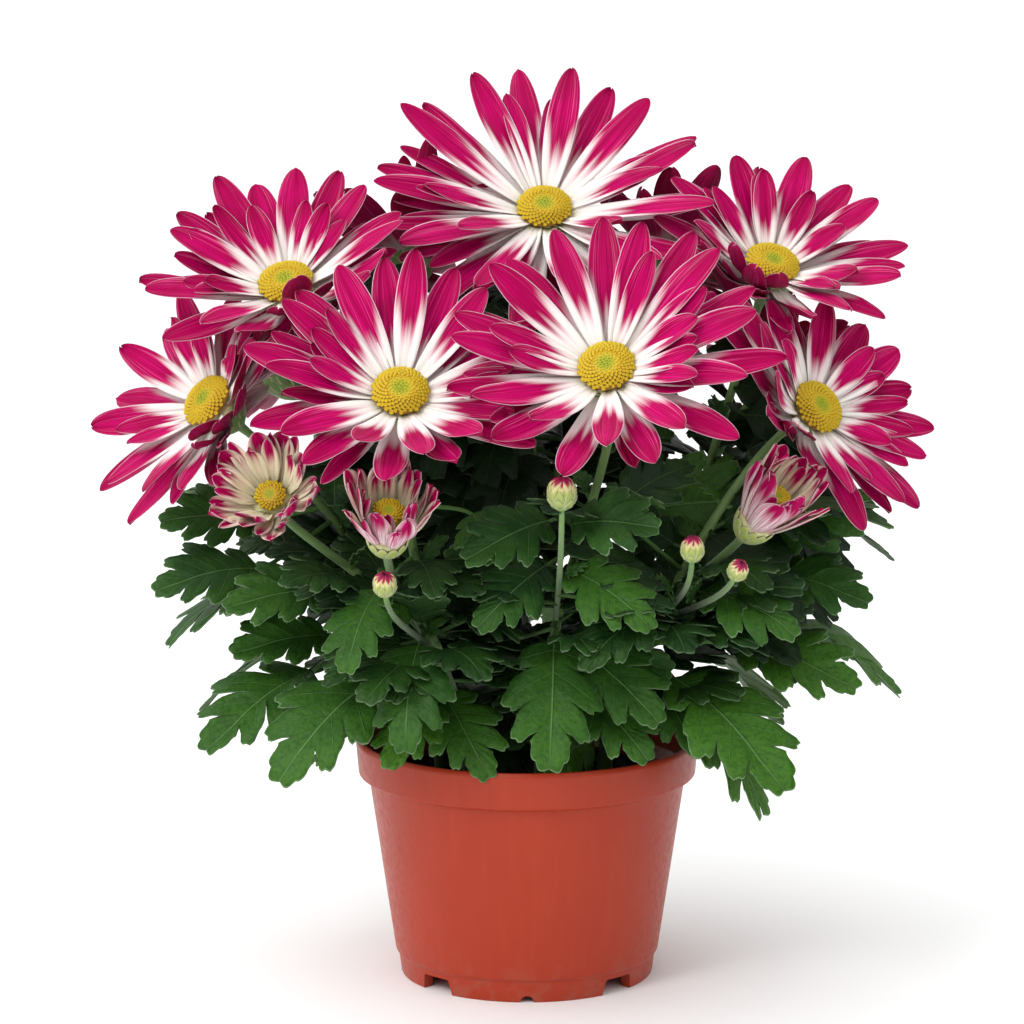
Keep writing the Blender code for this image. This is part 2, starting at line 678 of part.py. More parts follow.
def make_bud_tips(space):
    pink = material("bud_petals", (0.62, 0.12, 0.25), 0.5)
    for name, bud in BUDS.items():
        place = head_place(bud.centre, bud.facing, bud.height)
        profile = [(radius * bud.size, GAP + (height - GAP) * bud.size) for radius, height in BUD_TIP]

        def folds(ring, side):
            return (0.3 if side % 2 else -0.3, 0) if ring in (2, 3) else (0, 0)

        tip = turned(profile, 10, place, folds)
        space.add(name, *tip)
        outward(add_object(name, *tip, pink))


def nearest(paths, point):
    """The closest point on any of the paths, at its middle line."""
    found = []
    for path in paths:
        for start, end in zip(path, path[1:]):
            share = intersect_point_line(point, start, end)[1]
            found.append(start.lerp(end, min(max(share, 0.05), 0.95)))
    return min(found, key=lambda other: (other - point).length)


def behind(foot, tip):
    """A spot a stalk's length behind the foot of a leaf."""
    return foot - (tip - foot).normalized() * STALK_LENGTH


def front_leaves(lines):
    """The large leaves of the front, which turn their faces to the front as well as up."""
    for name, foot, tip in FRONT_LEAVES:
        foot, tip = Vector(foot), Vector(tip)
        face = Vector((0.004 * (foot.x + tip.x), -1, 0.6))
        yield Leaf(name, foot, tip, face, nearest(lines[name], behind(foot, tip)), True)


def rule_leaves(lines, rule):
    """Leaves by rule, from low and drooping ones to high and level ones."""
    draw = random.Random(rule.seed)
    first, sweep = rule.arc
    for index in range(rule.count):
        share = (index + 0.5) / rule.count
        angle = math.radians(first + sweep * (index * GOLDEN_SHARE % 1))
        height = rule.low + (rule.high - rule.low) * share
        away = Vector((math.sin(angle), -math.cos(angle), 0))
        foot = away * rule.inset * (0.75 + 0.5 * math.sin(math.pi * 0.8 * share)) + Vector((0, 6, height))
        slope = math.radians(-50 + 58 * share + draw.uniform(-8, 8))
        length = draw.uniform(*rule.length)
        tip = foot + (away * math.cos(slope) + Vector((0, 0, math.sin(slope)))) * length
        start = behind(foot, tip)
        name = min(lines, key=lambda stem: (nearest(lines[stem], start) - start).length)
        face = away + Vector((0, 0, rule.upward))
        yield Leaf(name, foot, tip, face, nearest(lines[name], start), rule.lobed)


def fit_leaf(space, node, leaf):
    """The first try for a leaf that is clear of other nodes, and whose blade is clear of its own."""
    away = Vector((leaf.foot.x, leaf.foot.y, 0)).normalized()
    for turn, rise, share, shift in LEAF_TRIES:
        foot = leaf.foot + away * shift
        blade = Matrix.Rotation(math.radians(turn), 3, "Z") @ (leaf.tip - leaf.foot) * share
        tried = leaf._replace(foot=foot, tip=foot + blade + Vector((0, 0, rise)))
        bend = (tried.tip - foot).angle(foot - leaf.stem_point)
        if bend > STALK_BEND:
            continue
        if not space.is_clear(*leaf_mesh(tried, CLEAR, petiole=False)):
            continue
        if space.is_clear(*leaf_mesh(tried, CLEAR), besides=(node,)):
            return tried
    return None


def make_stems(space, parts, lines):
    green = material("leaf_and_stem", (0.035, 0.13, 0.03), 0.6)
    leaves = [*front_leaves(lines), *rule_leaves(lines, OUTER_RULE), *rule_leaves(lines, INNER_RULE)]
    for leaf in leaves:
        node = "stem_" + leaf.stem
        fitted = fit_leaf(space, node, leaf)
        if fitted is None:
            continue
        piece = leaf_mesh(fitted)
        space.add(node, *piece)
        parts[leaf.stem].append(piece)
    for name, pieces in parts.items():
        fuse("stem_" + name, pieces[0], pieces[1:], green)


def stand_on_origin():
    """Move everything so that the origin is under the middle of the plant's spread."""
    things = list(bpy.context.scene.collection.objects)
    corners = [vertex.co for thing in things for vertex in thing.data.vertices]
    low = Vector([min(corner[axis] for corner in corners) for axis in range(3)])
    high = Vector([max(corner[axis] for corner in corners) for axis in range(3)])
    middle = (low + high) / 2
    for thing in things:
        thing.data.transform(Matrix.Translation((-middle.x, -middle.y, -low.z)))


def main():
    clear_scene()
    space = Space()
    make_pot(space)
    make_soil(space)
    parts, lines = stem_parts(space)
    make_bud_tips(space)
    make_heads(space, HALF_HEADS, half_open=True)
    make_heads(space, OPEN_HEADS, half_open=False)
    make_stems(space, parts, lines)
    stand_on_origin()


main()
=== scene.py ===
"""The looks of the pot chrysanthemum: a finer piece with its own finish in place of each solid."""

import math
import random
from collections import namedtuple

import bmesh
import bpy
from mathutils import Matrix, Vector, noise
from mathutils.geometry import intersect_point_line
from mathutils.kdtree import KDTree


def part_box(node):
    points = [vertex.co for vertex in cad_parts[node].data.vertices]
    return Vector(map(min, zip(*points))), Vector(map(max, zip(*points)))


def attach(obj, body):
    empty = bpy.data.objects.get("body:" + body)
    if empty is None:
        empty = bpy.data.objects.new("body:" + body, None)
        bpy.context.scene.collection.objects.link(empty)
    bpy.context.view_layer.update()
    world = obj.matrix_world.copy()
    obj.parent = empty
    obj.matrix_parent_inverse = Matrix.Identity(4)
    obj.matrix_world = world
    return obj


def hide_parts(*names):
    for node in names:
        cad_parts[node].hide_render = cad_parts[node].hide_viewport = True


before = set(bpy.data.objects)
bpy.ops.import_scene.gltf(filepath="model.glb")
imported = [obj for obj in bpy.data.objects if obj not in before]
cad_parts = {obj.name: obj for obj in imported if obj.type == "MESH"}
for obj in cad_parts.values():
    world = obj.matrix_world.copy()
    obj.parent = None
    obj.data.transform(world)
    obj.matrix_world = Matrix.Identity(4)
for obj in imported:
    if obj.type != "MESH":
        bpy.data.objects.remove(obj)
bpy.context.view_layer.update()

# The growing pot. It is moulded in one piece from thin polypropylene, with a broad rim band that
# steps out from a tapered body, and stands on four feet with slots between them for the water.
pot_low, pot_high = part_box("pot")
IN_PLACE = Matrix.Translation(((pot_low.x + pot_high.x) / 2, (pot_low.y + pot_high.y) / 2, 0))
IN_PLACE = IN_PLACE @ Matrix.Scale(0.001, 4)  # from millimetres about the pot's axis
POT_TURNS = 160
POT_WALL = (  # radius, height and rounding of each corner, from the middle of the floor back to it
    (0, 7.0, 0), (43.6, 7.0, 1.2), (53.6, 69.5, 0.8), (57.0, 72.5, 0.8), (57.6, 84.0, 0.5),
    (59.2, 84.6, 0.5), (60.0, 83.0, 0.6), (59.0, 71.6, 0.6), (55.4, 70.2, 0.5), (46.2, 8.4, 0.5),
    (45.2, 7.4, 0.4), (44.2, 0, 0.4), (40.6, 0, 0.4), (40.2, 5.0, 0.4), (0, 5.0, 0),
)
FEET_RING = 43
SLOT_SIZE = (16, 13, 6.6)  # across the ring of feet, along it and up
SLOT_HEIGHT = 2.3
SLOT_TAPER = 0.09
NOTCH = (2.4, 14, True, (FEET_RING, 0, 0))  # radius, length, whether it lies level, and middle
DRAIN_HOLE = (4.0, 6, False, (27, 0, 6))
TERRACOTTA = (0.34, 0.027, 0.007)
LIGHT_TERRACOTTA = (0.40, 0.037, 0.011)
FLOW_STREAK = (0.48, 0.07, 0.03)
DUST_COLOUR = (0.30, 0.12, 0.08)


def outline_to_edges(outline):
    """A wire of radius and height, with each corner rounded by its own radius, ready to be spun."""
    wire = bmesh.new()
    corners = [wire.verts.new((radius, 0, height)) for radius, height, bend in outline]
    for start, end in zip(corners, corners[1:]):
        wire.edges.new((start, end))
    for corner, (radius, height, bend) in zip(corners, outline):
        if bend:
            bmesh.ops.bevel(wire, geom=[corner], offset=bend, segments=3, profile=0.5,
                            affect="VERTICES", material=-1)
    return wire


def spin_solid(outline, turns):
    """The solid that an outline sweeps out round the upright axis, its faces outwards."""
    shape = outline_to_edges(outline)
    bmesh.ops.spin(shape, geom=shape.verts[:] + shape.edges[:], cent=(0, 0, 0), axis=(0, 0, 1),
                   dvec=(0, 0, 0), angle=2 * math.pi, steps=turns, use_merge=True)
    bmesh.ops.remove_doubles(shape, verts=shape.verts, dist=0.01)
    bmesh.ops.recalc_face_normals(shape, faces=shape.faces)
    return shape


def mesh_from(name, shape):
    """The mesh of a finished shape, which is freed."""
    mesh = bpy.data.meshes.new(name)
    shape.to_mesh(mesh)
    shape.free()
    return mesh


def piece_from(name, shape, finish=None):
    """A scene object from a shape in millimetres, with its place in its mesh."""
    bmesh.ops.transform(shape, matrix=IN_PLACE, verts=shape.verts)
    piece = bpy.data.objects.new(name, mesh_from(name, shape))
    bpy.context.scene.collection.objects.link(piece)
    if finish:
        piece.data.materials.append(finish)
        piece.data.shade_smooth()
    return piece


def new_finish(name, roughness):
    """A material, its node tree and its shader."""
    finish = bpy.data.materials.new(name)
    finish.use_nodes = True
    shader = finish.node_tree.nodes["Principled BSDF"]
    shader.inputs["Roughness"].default_value = roughness
    return finish, finish.node_tree, shader


def add_node(tree, kind, sockets, **settings):
    """A shader node; each socket takes a plain value or the output of another node."""
    made = tree.nodes.new("ShaderNode" + kind)
    for key, value in settings.items():
        setattr(made, key, value)
    for key, value in sockets.items():
        if isinstance(value, bpy.types.NodeSocket):
            tree.links.new(value, made.inputs[key])
        else:
            made.inputs[key].default_value = value
    return made


def object_place(tree):
    """Where each point of a piece lies, in metres."""
    return add_node(tree, "TexCoord", {}).outputs["Object"]


def height_of(tree, place):
    return add_node(tree, "SeparateXYZ", {"Vector": place}).outputs["Z"]


def stretched(tree, place, scale):
    """A place with each of its measures scaled by its own share, to draw a pattern out one way."""
    return add_node(tree, "Mapping", {"Vector": place, "Scale": scale}).outputs[0]


def speckle(tree, place, scale, detail=2.0):
    """Noise from 0 to 1 at so many grains a unit."""
    return add_node(tree, "TexNoise", {"Vector": place, "Scale": scale, "Detail": detail}).outputs[0]


def ease(tree, value, low, high):
    """0 up to low and 1 from high on, smooth between them; low may be the larger."""
    sockets = {"Value": value, "From Min": low, "From Max": high}
    return add_node(tree, "MapRange", sockets, interpolation_type="SMOOTHSTEP").outputs["Result"]


def calc(tree, operation, first, second=0.0):
    return add_node(tree, "Math", {0: first, 1: second}, operation=operation).outputs[0]


def times(tree, first, second):
    return calc(tree, "MULTIPLY", first, second)


def rest(tree, share):
    """What a share leaves of one."""
    return calc(tree, "SUBTRACT", 1.0, share)


def blend_colour(tree, share, first, second):
    """The first colour where the share is 0 and the second where it is 1."""
    first = (*first, 1) if isinstance(first, tuple) else first
    second = (*second, 1) if isinstance(second, tuple) else second
    return add_node(tree, "Mix", {0: share, 6: first, 7: second}, data_type="RGBA").outputs[2]


def raise_grain(tree, shader, height, depth):
    """A bump of so many metres from a height of 0 to 1."""
    bump = add_node(tree, "Bump", {"Height": height, "Distance": depth, "Strength": 1.0})
    tree.links.new(bump.outputs[0], shader.inputs["Normal"])


pot_finish, tree, shader = new_finish("moulded_terracotta_plastic", 0.36)
place = object_place(tree)
colour = blend_colour(tree, speckle(tree, place, 22.0), TERRACOTTA, LIGHT_TERRACOTTA)
streaks = speckle(tree, stretched(tree, place, (260.0, 260.0, 6.0)), 1.0, 3.0)
streaks = times(tree, ease(tree, streaks, 0.45, 0.75), 0.12)
colour = blend_colour(tree, streaks, colour, FLOW_STREAK)
near_ground = rest(tree, ease(tree, height_of(tree, place), 0.0, 0.02))
dust = times(tree, near_ground, ease(tree, speckle(tree, place, 180.0), 0.45, 0.7))
colour = blend_colour(tree, times(tree, dust, 0.35), colour, DUST_COLOUR)
tree.links.new(colour, shader.inputs["Base Color"])
scuffs = ease(tree, speckle(tree, place, 420.0, 4.0), 0.3, 0.8)
rough = add_node(tree, "MapRange", {"Value": scuffs, "To Min": 0.34, "To Max": 0.5}).outputs["Result"]
tree.links.new(rough, shader.inputs["Roughness"])
shader.inputs["Specular IOR Level"].default_value = 0.3
raise_grain(tree, shader, speckle(tree, place, 1600.0), 0.00008)

pot = piece_from("growing_pot", spin_solid(POT_WALL, POT_TURNS), pot_finish)
cutters = []
for quarter in range(4):
    slot = bmesh.new()
    bmesh.ops.create_cube(slot, size=1)
    slot_place = Matrix.Translation((FEET_RING, 0, SLOT_HEIGHT)) @ Matrix.Diagonal((*SLOT_SIZE, 1))
    bmesh.ops.transform(slot, matrix=slot_place, verts=slot.verts)
    for corner in slot.verts:
        corner.co.y *= 1 + SLOT_TAPER if corner.co.z < 0 else 1 - SLOT_TAPER
    upper = [edge for edge in slot.edges if min(vert.co.z for vert in edge.verts) > 0]
    bmesh.ops.bevel(slot, geom=upper, offset=0.8, segments=3, profile=0.5, affect="EDGES",
                    material=-1)
    bmesh.ops.rotate(slot, cent=(0, 0, 0), verts=slot.verts,
                     matrix=Matrix.Rotation(math.radians(45 + 90 * quarter), 3, "Z"))
    cutters.append(piece_from("slot_cutter", slot))
    for radius, length, level, middle in (NOTCH, DRAIN_HOLE):
        hole = bmesh.new()
        bmesh.ops.create_cone(hole, cap_ends=True, segments=28, radius1=radius, radius2=radius,
                              depth=length)
        if level:
            bmesh.ops.rotate(hole, cent=(0, 0, 0), verts=hole.verts,
                             matrix=Matrix.Rotation(math.radians(90), 3, "Y"))
        bmesh.ops.translate(hole, vec=middle, verts=hole.verts)
        bmesh.ops.rotate(hole, cent=(0, 0, 0), verts=hole.verts,
                         matrix=Matrix.Rotation(math.radians(90 * quarter), 3, "Z"))
        cutters.append(piece_from("hole_cutter", hole))
for cutter in cutters:
    cut = pot.modifiers.new("Cut", "BOOLEAN")
    cut.operation = "DIFFERENCE"
    cut.solver = "EXACT"
    cut.object = cutter
    moulded = bpy.data.meshes.new_from_object(pot.evaluated_get(bpy.context.evaluated_depsgraph_get()))
    pot.modifiers.remove(cut)
    pot.data = moulded
    bpy.data.objects.remove(cutter, do_unlink=True)
pot.data.shade_smooth()
pot.data.set_sharp_from_angle(angle=math.radians(32))
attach(pot, "root")
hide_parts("pot")

# The potting soil. It is peat with fine roots and bark in it, poured in to just under the rim, a
# little higher in the middle where the stems stand, and crumbly on top.
SOIL_FLOOR = (43.1, 7.3)  # the radius and height of its lower edge, on the floor of the pot
SOIL_RADIUS = 52.9
SOIL_EDGE_HEIGHT = 68.0
SOIL_RISE = 4.0
SOIL_RINGS = 24
CRUMBS = 420
CRUMB_REACH = 50
ANY_TURN = (0, 6.28)
PEAT, DRY_PEAT, FIBRE = (0.004, 0.003, 0.002), (0.020, 0.013, 0.008), (0.075, 0.045, 0.024)


def soil_height(far):
    """The height of the soil so far from the pot's axis, apart from its lumps."""
    return SOIL_EDGE_HEIGHT + SOIL_RISE * (1 - (far / SOIL_RADIUS) ** 2)


soil_finish, tree, shader = new_finish("peat_potting_soil", 0.95)
place = object_place(tree)
grains = speckle(tree, place, 700.0, 6.0)
colour = blend_colour(tree, ease(tree, grains, 0.35, 0.65), PEAT, DRY_PEAT)
fibres = speckle(tree, stretched(tree, place, (900.0, 160.0, 600.0)), 1.0, 3.0)
colour = blend_colour(tree, times(tree, ease(tree, fibres, 0.66, 0.74), 0.6), colour, FIBRE)
tree.links.new(colour, shader.inputs["Base Color"])
shader.inputs["Specular IOR Level"].default_value = 0.1
raise_grain(tree, shader, grains, 0.0008)

soil_rings = [SOIL_RADIUS * (1 - step / SOIL_RINGS) for step in range(SOIL_RINGS + 1)]
shape = spin_solid([(0, SOIL_FLOOR[1], 0), (*SOIL_FLOOR, 0), (SOIL_RADIUS, SOIL_EDGE_HEIGHT - 0.6, 0),
                    *((far, soil_height(far), 0) for far in soil_rings)], 120)
for vert in shape.verts:
    far = math.hypot(vert.co.x, vert.co.y)
    if vert.co.z > SOIL_EDGE_HEIGHT - 0.1 and far < SOIL_RADIUS - 0.4:
        lumps = noise.noise(vert.co * 0.35) + noise.noise(vert.co * 0.9) * 0.6
        vert.co.z += lumps * min((SOIL_RADIUS - far) / 4, 1)
draw = random.Random(5)
for crumb in range(CRUMBS):
    far = CRUMB_REACH * math.sqrt(draw.random())
    angle = draw.uniform(0, 2 * math.pi)
    size = draw.uniform(0.5, 1.7)
    middle = Vector((far * math.cos(angle), far * math.sin(angle), soil_height(far)))
    tumble = Matrix.Rotation(draw.uniform(*ANY_TURN), 4, "X")
    turn = tumble @ Matrix.Rotation(draw.uniform(*ANY_TURN), 4, "Z")
    squash = Matrix.Diagonal((size, size * draw.uniform(0.5, 0.9), size * draw.uniform(0.5, 0.8), 1))
    bmesh.ops.create_icosphere(shape, subdivisions=1, radius=1,
                               matrix=Matrix.Translation(middle) @ turn @ squash)
soil = piece_from("potting_soil", shape, soil_finish)
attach(soil, "root")
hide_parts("soil")

# The stems. Each comes up straight from its hole in the soil, leans outwards, and parts into
# branches: one to each flower head, thinner ones to the buds. They are pale green, faintly ribbed and
# covered in very short hairs. Places are in millimetres from the pot's axis at the ground.
Stem = namedtuple("Stem", "hole top")
STEMS = {
    "front_left": Stem((-20, -22), (-32, -40, 126)),
    "front_middle": Stem((5, -28), (9, -42, 128)),
    "front_right": Stem((27, -14), (46, -36, 136)),
    "left": Stem((-30, 6), (-52, 2, 138)),
    "right": Stem((28, 16), (50, 16, 138)),
    "back": Stem((-2, 28), (0, 34, 148)),
}
STEM_DEPTH = 32.0
TRUNK_RADIUS = 2.5
BRANCH_RADIUS = 1.5
BUD_STALK_RADIUS = 1.0
TRUNK_STEPS = 14
BRANCH_STEPS = 24
BUD_STALK_STEPS = 18
CUP_DEPTH = 12
BUD_CUP_DEPTH = 5
RIB = 0.05  # how far the ribs stand out, as a share of the stem's radius

# A head's facing is the way it looks from above, 0 to the front and 90 to the right, and its height
# is how far it looks up. The petals of some are pushed up on one side: crowd_at is the angle of that
# side round the head, from its right over its top.
Head = namedtuple("Head", "stem centre facing height length rays lift crowd_at crowd")
OPEN_HEADS = {
    "top": Head("back", (6, 20, 266), 0, 51, 60, 22, 15, 0, 0),
    "front_right": Head("front_middle", (26, -75, 224), -10, 43, 54, 22, 15, -95, 12),
    "front_left": Head("front_left", (-42, -70, 215), 2, 45, 48, 22, 17, -90, 14),
    "upper_left": Head("left", (-82, -15, 244), -14, 54, 46, 19, 22, -50, 26),
    "left": Head("left", (-107, -30, 206), -50, 36, 45, 19, 12, -10, 30),
    "upper_right": Head("right", (84, 5, 248), 22, 55, 45, 19, 20, 215, 32),
    "right": Head("front_right", (97, -30, 204), 42, 32, 43, 19, 14, 190, 24),
    "back_upper_left": Head("back", (-42, 48, 250), -150, 58, 50, 16, 16, 0, 0),
    "back_upper_right": Head("back", (48, 54, 246), 150, 56, 50, 16, 16, 0, 0),
    "back_left": Head("left", (-88, 52, 207), -120, 42, 48, 16, 15, 0, 0),
    "back_right": Head("right", (90, 56, 205), 122, 40, 48, 16, 15, 0, 0),
    "back": Head("back", (2, 92, 214), 178, 42, 52, 18, 15, 0, 0),
}
HALF_HEADS = {
    "half_left": Head("front_left", (-85, -62, 179), -12, 32, 23, 10, 44, 0, 0),
    "half_middle": Head("front_left", (-46, -84, 172), 4, 48, 27, 10, 62, 0, 0),
    "half_right": Head("front_right", (77, -64, 173), 42, 44, 29, 10, 64, 0, 0),
}
HALF_SIZE = 0.8
Bud = namedtuple("Bud", "stem centre facing height size")
BUDS = {
    "bud_middle": Bud("front_middle", (11, -92, 186), 0, 78, 1.0),
    "bud_right": Bud("front_right", (54, -84, 166), 5, 74, 0.8),
    "bud_low_left": Bud("front_left", (-47, -88, 155), -5, 60, 0.8),
    "bud_low_right": Bud("front_right", (69, -84, 159), 25, 50, 0.7),
}


def head_place(head):
    """A matrix whose +Z is the way a head faces, +X its right, seen from the front, and +Y its top."""
    level = math.cos(math.radians(head.height))
    normal = Vector((math.sin(math.radians(head.facing)) * level,
                     -math.cos(math.radians(head.facing)) * level, math.sin(math.radians(head.height))))
    right = Vector((0, 0, 1)).cross(normal).normalized()
    place = Matrix((right, normal.cross(right), normal)).transposed().to_4x4()
    place.translation = Vector(head.centre)
    return place


def smooth_path(start, start_way, end, end_way, stations):
    """Points on the curve that leaves start along start_way and reaches end along end_way."""
    points = []
    for index in range(stations + 1):
        t = index / stations
        points.append(start * (2 * t ** 3 - 3 * t ** 2 + 1) + start_way * (t ** 3 - 2 * t ** 2 + t)
                      + end * (3 * t ** 2 - 2 * t ** 3) + end_way * (t ** 3 - t ** 2))
    return points


def trunk_path(stem, stations=3):
    foot = Vector((*stem.hole, SOIL_EDGE_HEIGHT - STEM_DEPTH))
    ground = Vector((*stem.hole, SOIL_EDGE_HEIGHT + 8))
    top = Vector(stem.top)
    rise = Vector((0, 0, (top - ground).length))
    return [foot, *smooth_path(ground, rise * 0.9, top, (top - ground) * 0.9, stations)]


def branch_path(stem, below, way, order, stations, reach=1.0):
    """From the upper trunk to the underside of a head, which it reaches along way."""
    trunk = trunk_path(stem)
    start = trunk[-1].lerp(trunk[-2], 0.06 + 0.2 * order)
    distance = (below - start).length
    first = (trunk[-1] - trunk[-2]).normalized()
    return smooth_path(start, first * distance * 0.8, below, way * distance * reach, stations)


def grow(shape, path, widths, sides=10, ribs=0.0):
    """A closed stem: a ring drawn along a path, as wide as asked at each point of it."""
    across = Vector((1, 0, 0.01))
    rings = []
    for index, centre in enumerate(path):
        along = (path[min(index + 1, len(path) - 1)] - path[max(index - 1, 0)]).normalized()
        across = (across - along * across.dot(along)).normalized()
        axes = Matrix((across, along.cross(across), along)).transposed().to_4x4()
        rings.append(Matrix.Translation(centre) @ axes @ Matrix.Scale(widths[index], 4))
    made = bmesh.ops.create_circle(shape, cap_ends=True, segments=sides, radius=1)["verts"]
    for index, vert in enumerate(made):
        vert.co *= 1 + (ribs if index % 2 else -ribs)
    end = made[0].link_faces[0]
    bmesh.ops.transform(shape, matrix=rings[0], verts=made)
    end.normal_update()
    start_cap = bmesh.ops.duplicate(shape, geom=[end])["geom"]
    start_cap = next(item for item in start_cap if isinstance(item, bmesh.types.BMFace))
    start_cap.normal_update()
    if start_cap.normal.dot(rings[0].col[2].to_3d()) > 0:
        start_cap.normal_flip()
    for before, after in zip(rings, rings[1:]):
        drawn = bmesh.ops.extrude_face_region(shape, geom=[end])["geom"]
        ring = [item for item in drawn if isinstance(item, bmesh.types.BMVert)]
        end = next(item for item in drawn if isinstance(item, bmesh.types.BMFace))
        bmesh.ops.transform(shape, matrix=after @ before.inverted(), verts=ring)


LOW_STEM, HIGH_STEM, STEM_MOTTLE = (0.10, 0.20, 0.05), (0.20, 0.34, 0.105), (0.12, 0.24, 0.08)
stem_finish, tree, shader = new_finish("downy_green_stem", 0.55)
place = object_place(tree)
colour = blend_colour(tree, ease(tree, height_of(tree, place), 0.09, 0.19), LOW_STEM, HIGH_STEM)
mottle = times(tree, ease(tree, speckle(tree, place, 90.0), 0.35, 0.75), 0.45)
colour = blend_colour(tree, mottle, colour, STEM_MOTTLE)
tree.links.new(colour, shader.inputs["Base Color"])
shader.inputs["Sheen Weight"].default_value = 0.2
shader.inputs["Sheen Roughness"].default_value = 0.4
raise_grain(tree, shader, speckle(tree, stretched(tree, place, (2200.0, 2200.0, 160.0)), 1.0), 0.00015)

order = dict.fromkeys(STEMS, -1)
middle_lines = {name: [trunk_path(stem)[1:]] for name, stem in STEMS.items()}
stem_shapes = {}
for name, stem in STEMS.items():
    stem_shapes[name] = bmesh.new()
    path = trunk_path(stem, TRUNK_STEPS)
    swell = [1.0] * 2 + [1.0 - 0.012 * step + 0.05 * (step % 4 == 0) for step in range(TRUNK_STEPS)]
    grow(stem_shapes[name], path, [TRUNK_RADIUS * share for share in swell], 12, RIB)


def grow_branch(head, depth, widths, sides, solid_steps, reach=1.0):
    """The branch to a head, so far under its middle, and the middle line that the solid's branch has."""
    order[head.stem] += 1
    head_at = head_place(head)
    way = head_at.to_3x3() @ Vector((0, 0, 1))
    below = head_at @ Vector((0, 0, -depth))
    finer, plain = (branch_path(STEMS[head.stem], below, way, order[head.stem], steps, reach)
                    for steps in (len(widths) - 1, solid_steps))
    grow(stem_shapes[head.stem], finer, widths, sides, RIB)
    middle_lines[head.stem].append(plain[:-1])


shares = [step / BRANCH_STEPS for step in range(BRANCH_STEPS + 1)]
branch_widths = [BRANCH_RADIUS * (1.12 - 0.2 * share + 0.9 * max(share - 0.93, 0) * 7)
                 for share in shares]
for heads, size in ((OPEN_HEADS, 1.0), (HALF_HEADS, HALF_SIZE)):
    for head in heads.values():
        grow_branch(head, CUP_DEPTH * size, branch_widths, 10, 4)
stalk_widths = [BUD_STALK_RADIUS * (1.15 - 0.2 * step / BUD_STALK_STEPS)
                for step in range(BUD_STALK_STEPS + 1)]
for bud in BUDS.values():
    grow_branch(bud, BUD_CUP_DEPTH * bud.size, stalk_widths, 8, 3, 0.8)

# The green cups. Under every head the stem swells into a cup, wrapped in rows of small pointed
# bracts with pale, papery edges that overlap like tiles: three rows for a head, two for a bud.
CUP_OUTLINE = (  # radius and height, from its foot up to the head's middle at 0
    (0, -15.2), (1.9, -15.0), (3.2, -13.6), (6.2, -10.2), (7.6, -7.6), (8.2, -4.6), (7.6, -1.2),
    (0, -0.6),
)
BUD_CUP_OUTLINE = ((0, -5.8), (1.6, -5.5), (3.6, -4.1), (4.6, -1.8), (4.8, 0.2), (4.3, 2.0), (0, 2.4))
BractRow = namedtuple("BractRow", "count low high width bulge turn")
BRACTS = (
    BractRow(9, (3.4, -13.4), (8.4, -6.4), 4.6, 0.9, 0.0),
    BractRow(11, (6.4, -10.0), (9.0, -3.2), 4.8, 0.8, 0.5),
    BractRow(13, (7.8, -7.4), (9.2, -0.8), 4.6, 0.6, 0.2),
)
BUD_BRACTS = (
    BractRow(7, (1.8, -5.4), (5.2, -0.6), 3.4, 0.8, 0.0),
    BractRow(9, (3.6, -4.2), (4.7, 2.6), 3.3, 0.7, 0.5),
)
CUP_DATA = ("rim", "tint")
HALF_HEAD_TINT = 0.8
BUD_TINT = 0.7
STEM_HAIRS, STEM_HAIR_LENGTHS = 420, (0.5, 1.2)
CUP_HAIRS, CUP_HAIR_LENGTHS = 260, (0.35, 0.8)


def shape_with(*layers):
    """An empty shape whose vertices carry these named numbers, for a material to read."""
    shape = bmesh.new()
    for name in layers:
        shape.verts.layers.float.new(name)
    return shape


def slab(rows, columns):
    """A thin closed sheet, from 0 to 1 along, -1 to 1 across, its upper side at 0, lower at -1."""
    shape = bmesh.new()
    bmesh.ops.create_grid(shape, x_segments=rows, y_segments=columns, size=1)
    upper = shape.verts[:]
    copied = bmesh.ops.duplicate(shape, geom=shape.verts[:] + shape.edges[:] + shape.faces[:])["geom"]
    lower = [item for item in copied if isinstance(item, bmesh.types.BMVert)]
    lower_faces = [item for item in copied if isinstance(item, bmesh.types.BMFace)]
    bmesh.ops.reverse_faces(shape, faces=lower_faces)
    bmesh.ops.translate(shape, vec=(0, 0, -1), verts=lower)
    bmesh.ops.bridge_loops(shape, edges=[edge for edge in shape.edges if edge.is_boundary])
    bmesh.ops.transform(shape, matrix=Matrix.Translation((0.5, 0, 0)) @ Matrix.Diagonal((0.5, 1, 1, 1)),
                        verts=upper + lower)
    return mesh_from("slab", shape)


def add_copy(shape, template):
    """The vertices of a copy of a template in a shape."""
    first = len(shape.verts)
    shape.from_mesh(template)
    shape.verts.ensure_lookup_table()
    return shape.verts[first:]


def stored(tree, name):
    """The number of this name that the vertices carry."""
    return add_node(tree, "Attribute", {}, attribute_name=name).outputs["Fac"]


bract_slab = slab(6, 4)
shape = bmesh.new()
bmesh.ops.create_cone(shape, cap_ends=True, segments=3, radius1=0.07, radius2=0.0, depth=1.0,
                      matrix=Matrix.Translation((0, 0, 0.45)))
bmesh.ops.remove_doubles(shape, verts=shape.verts, dist=0.001)
hair = mesh_from("hair", shape)

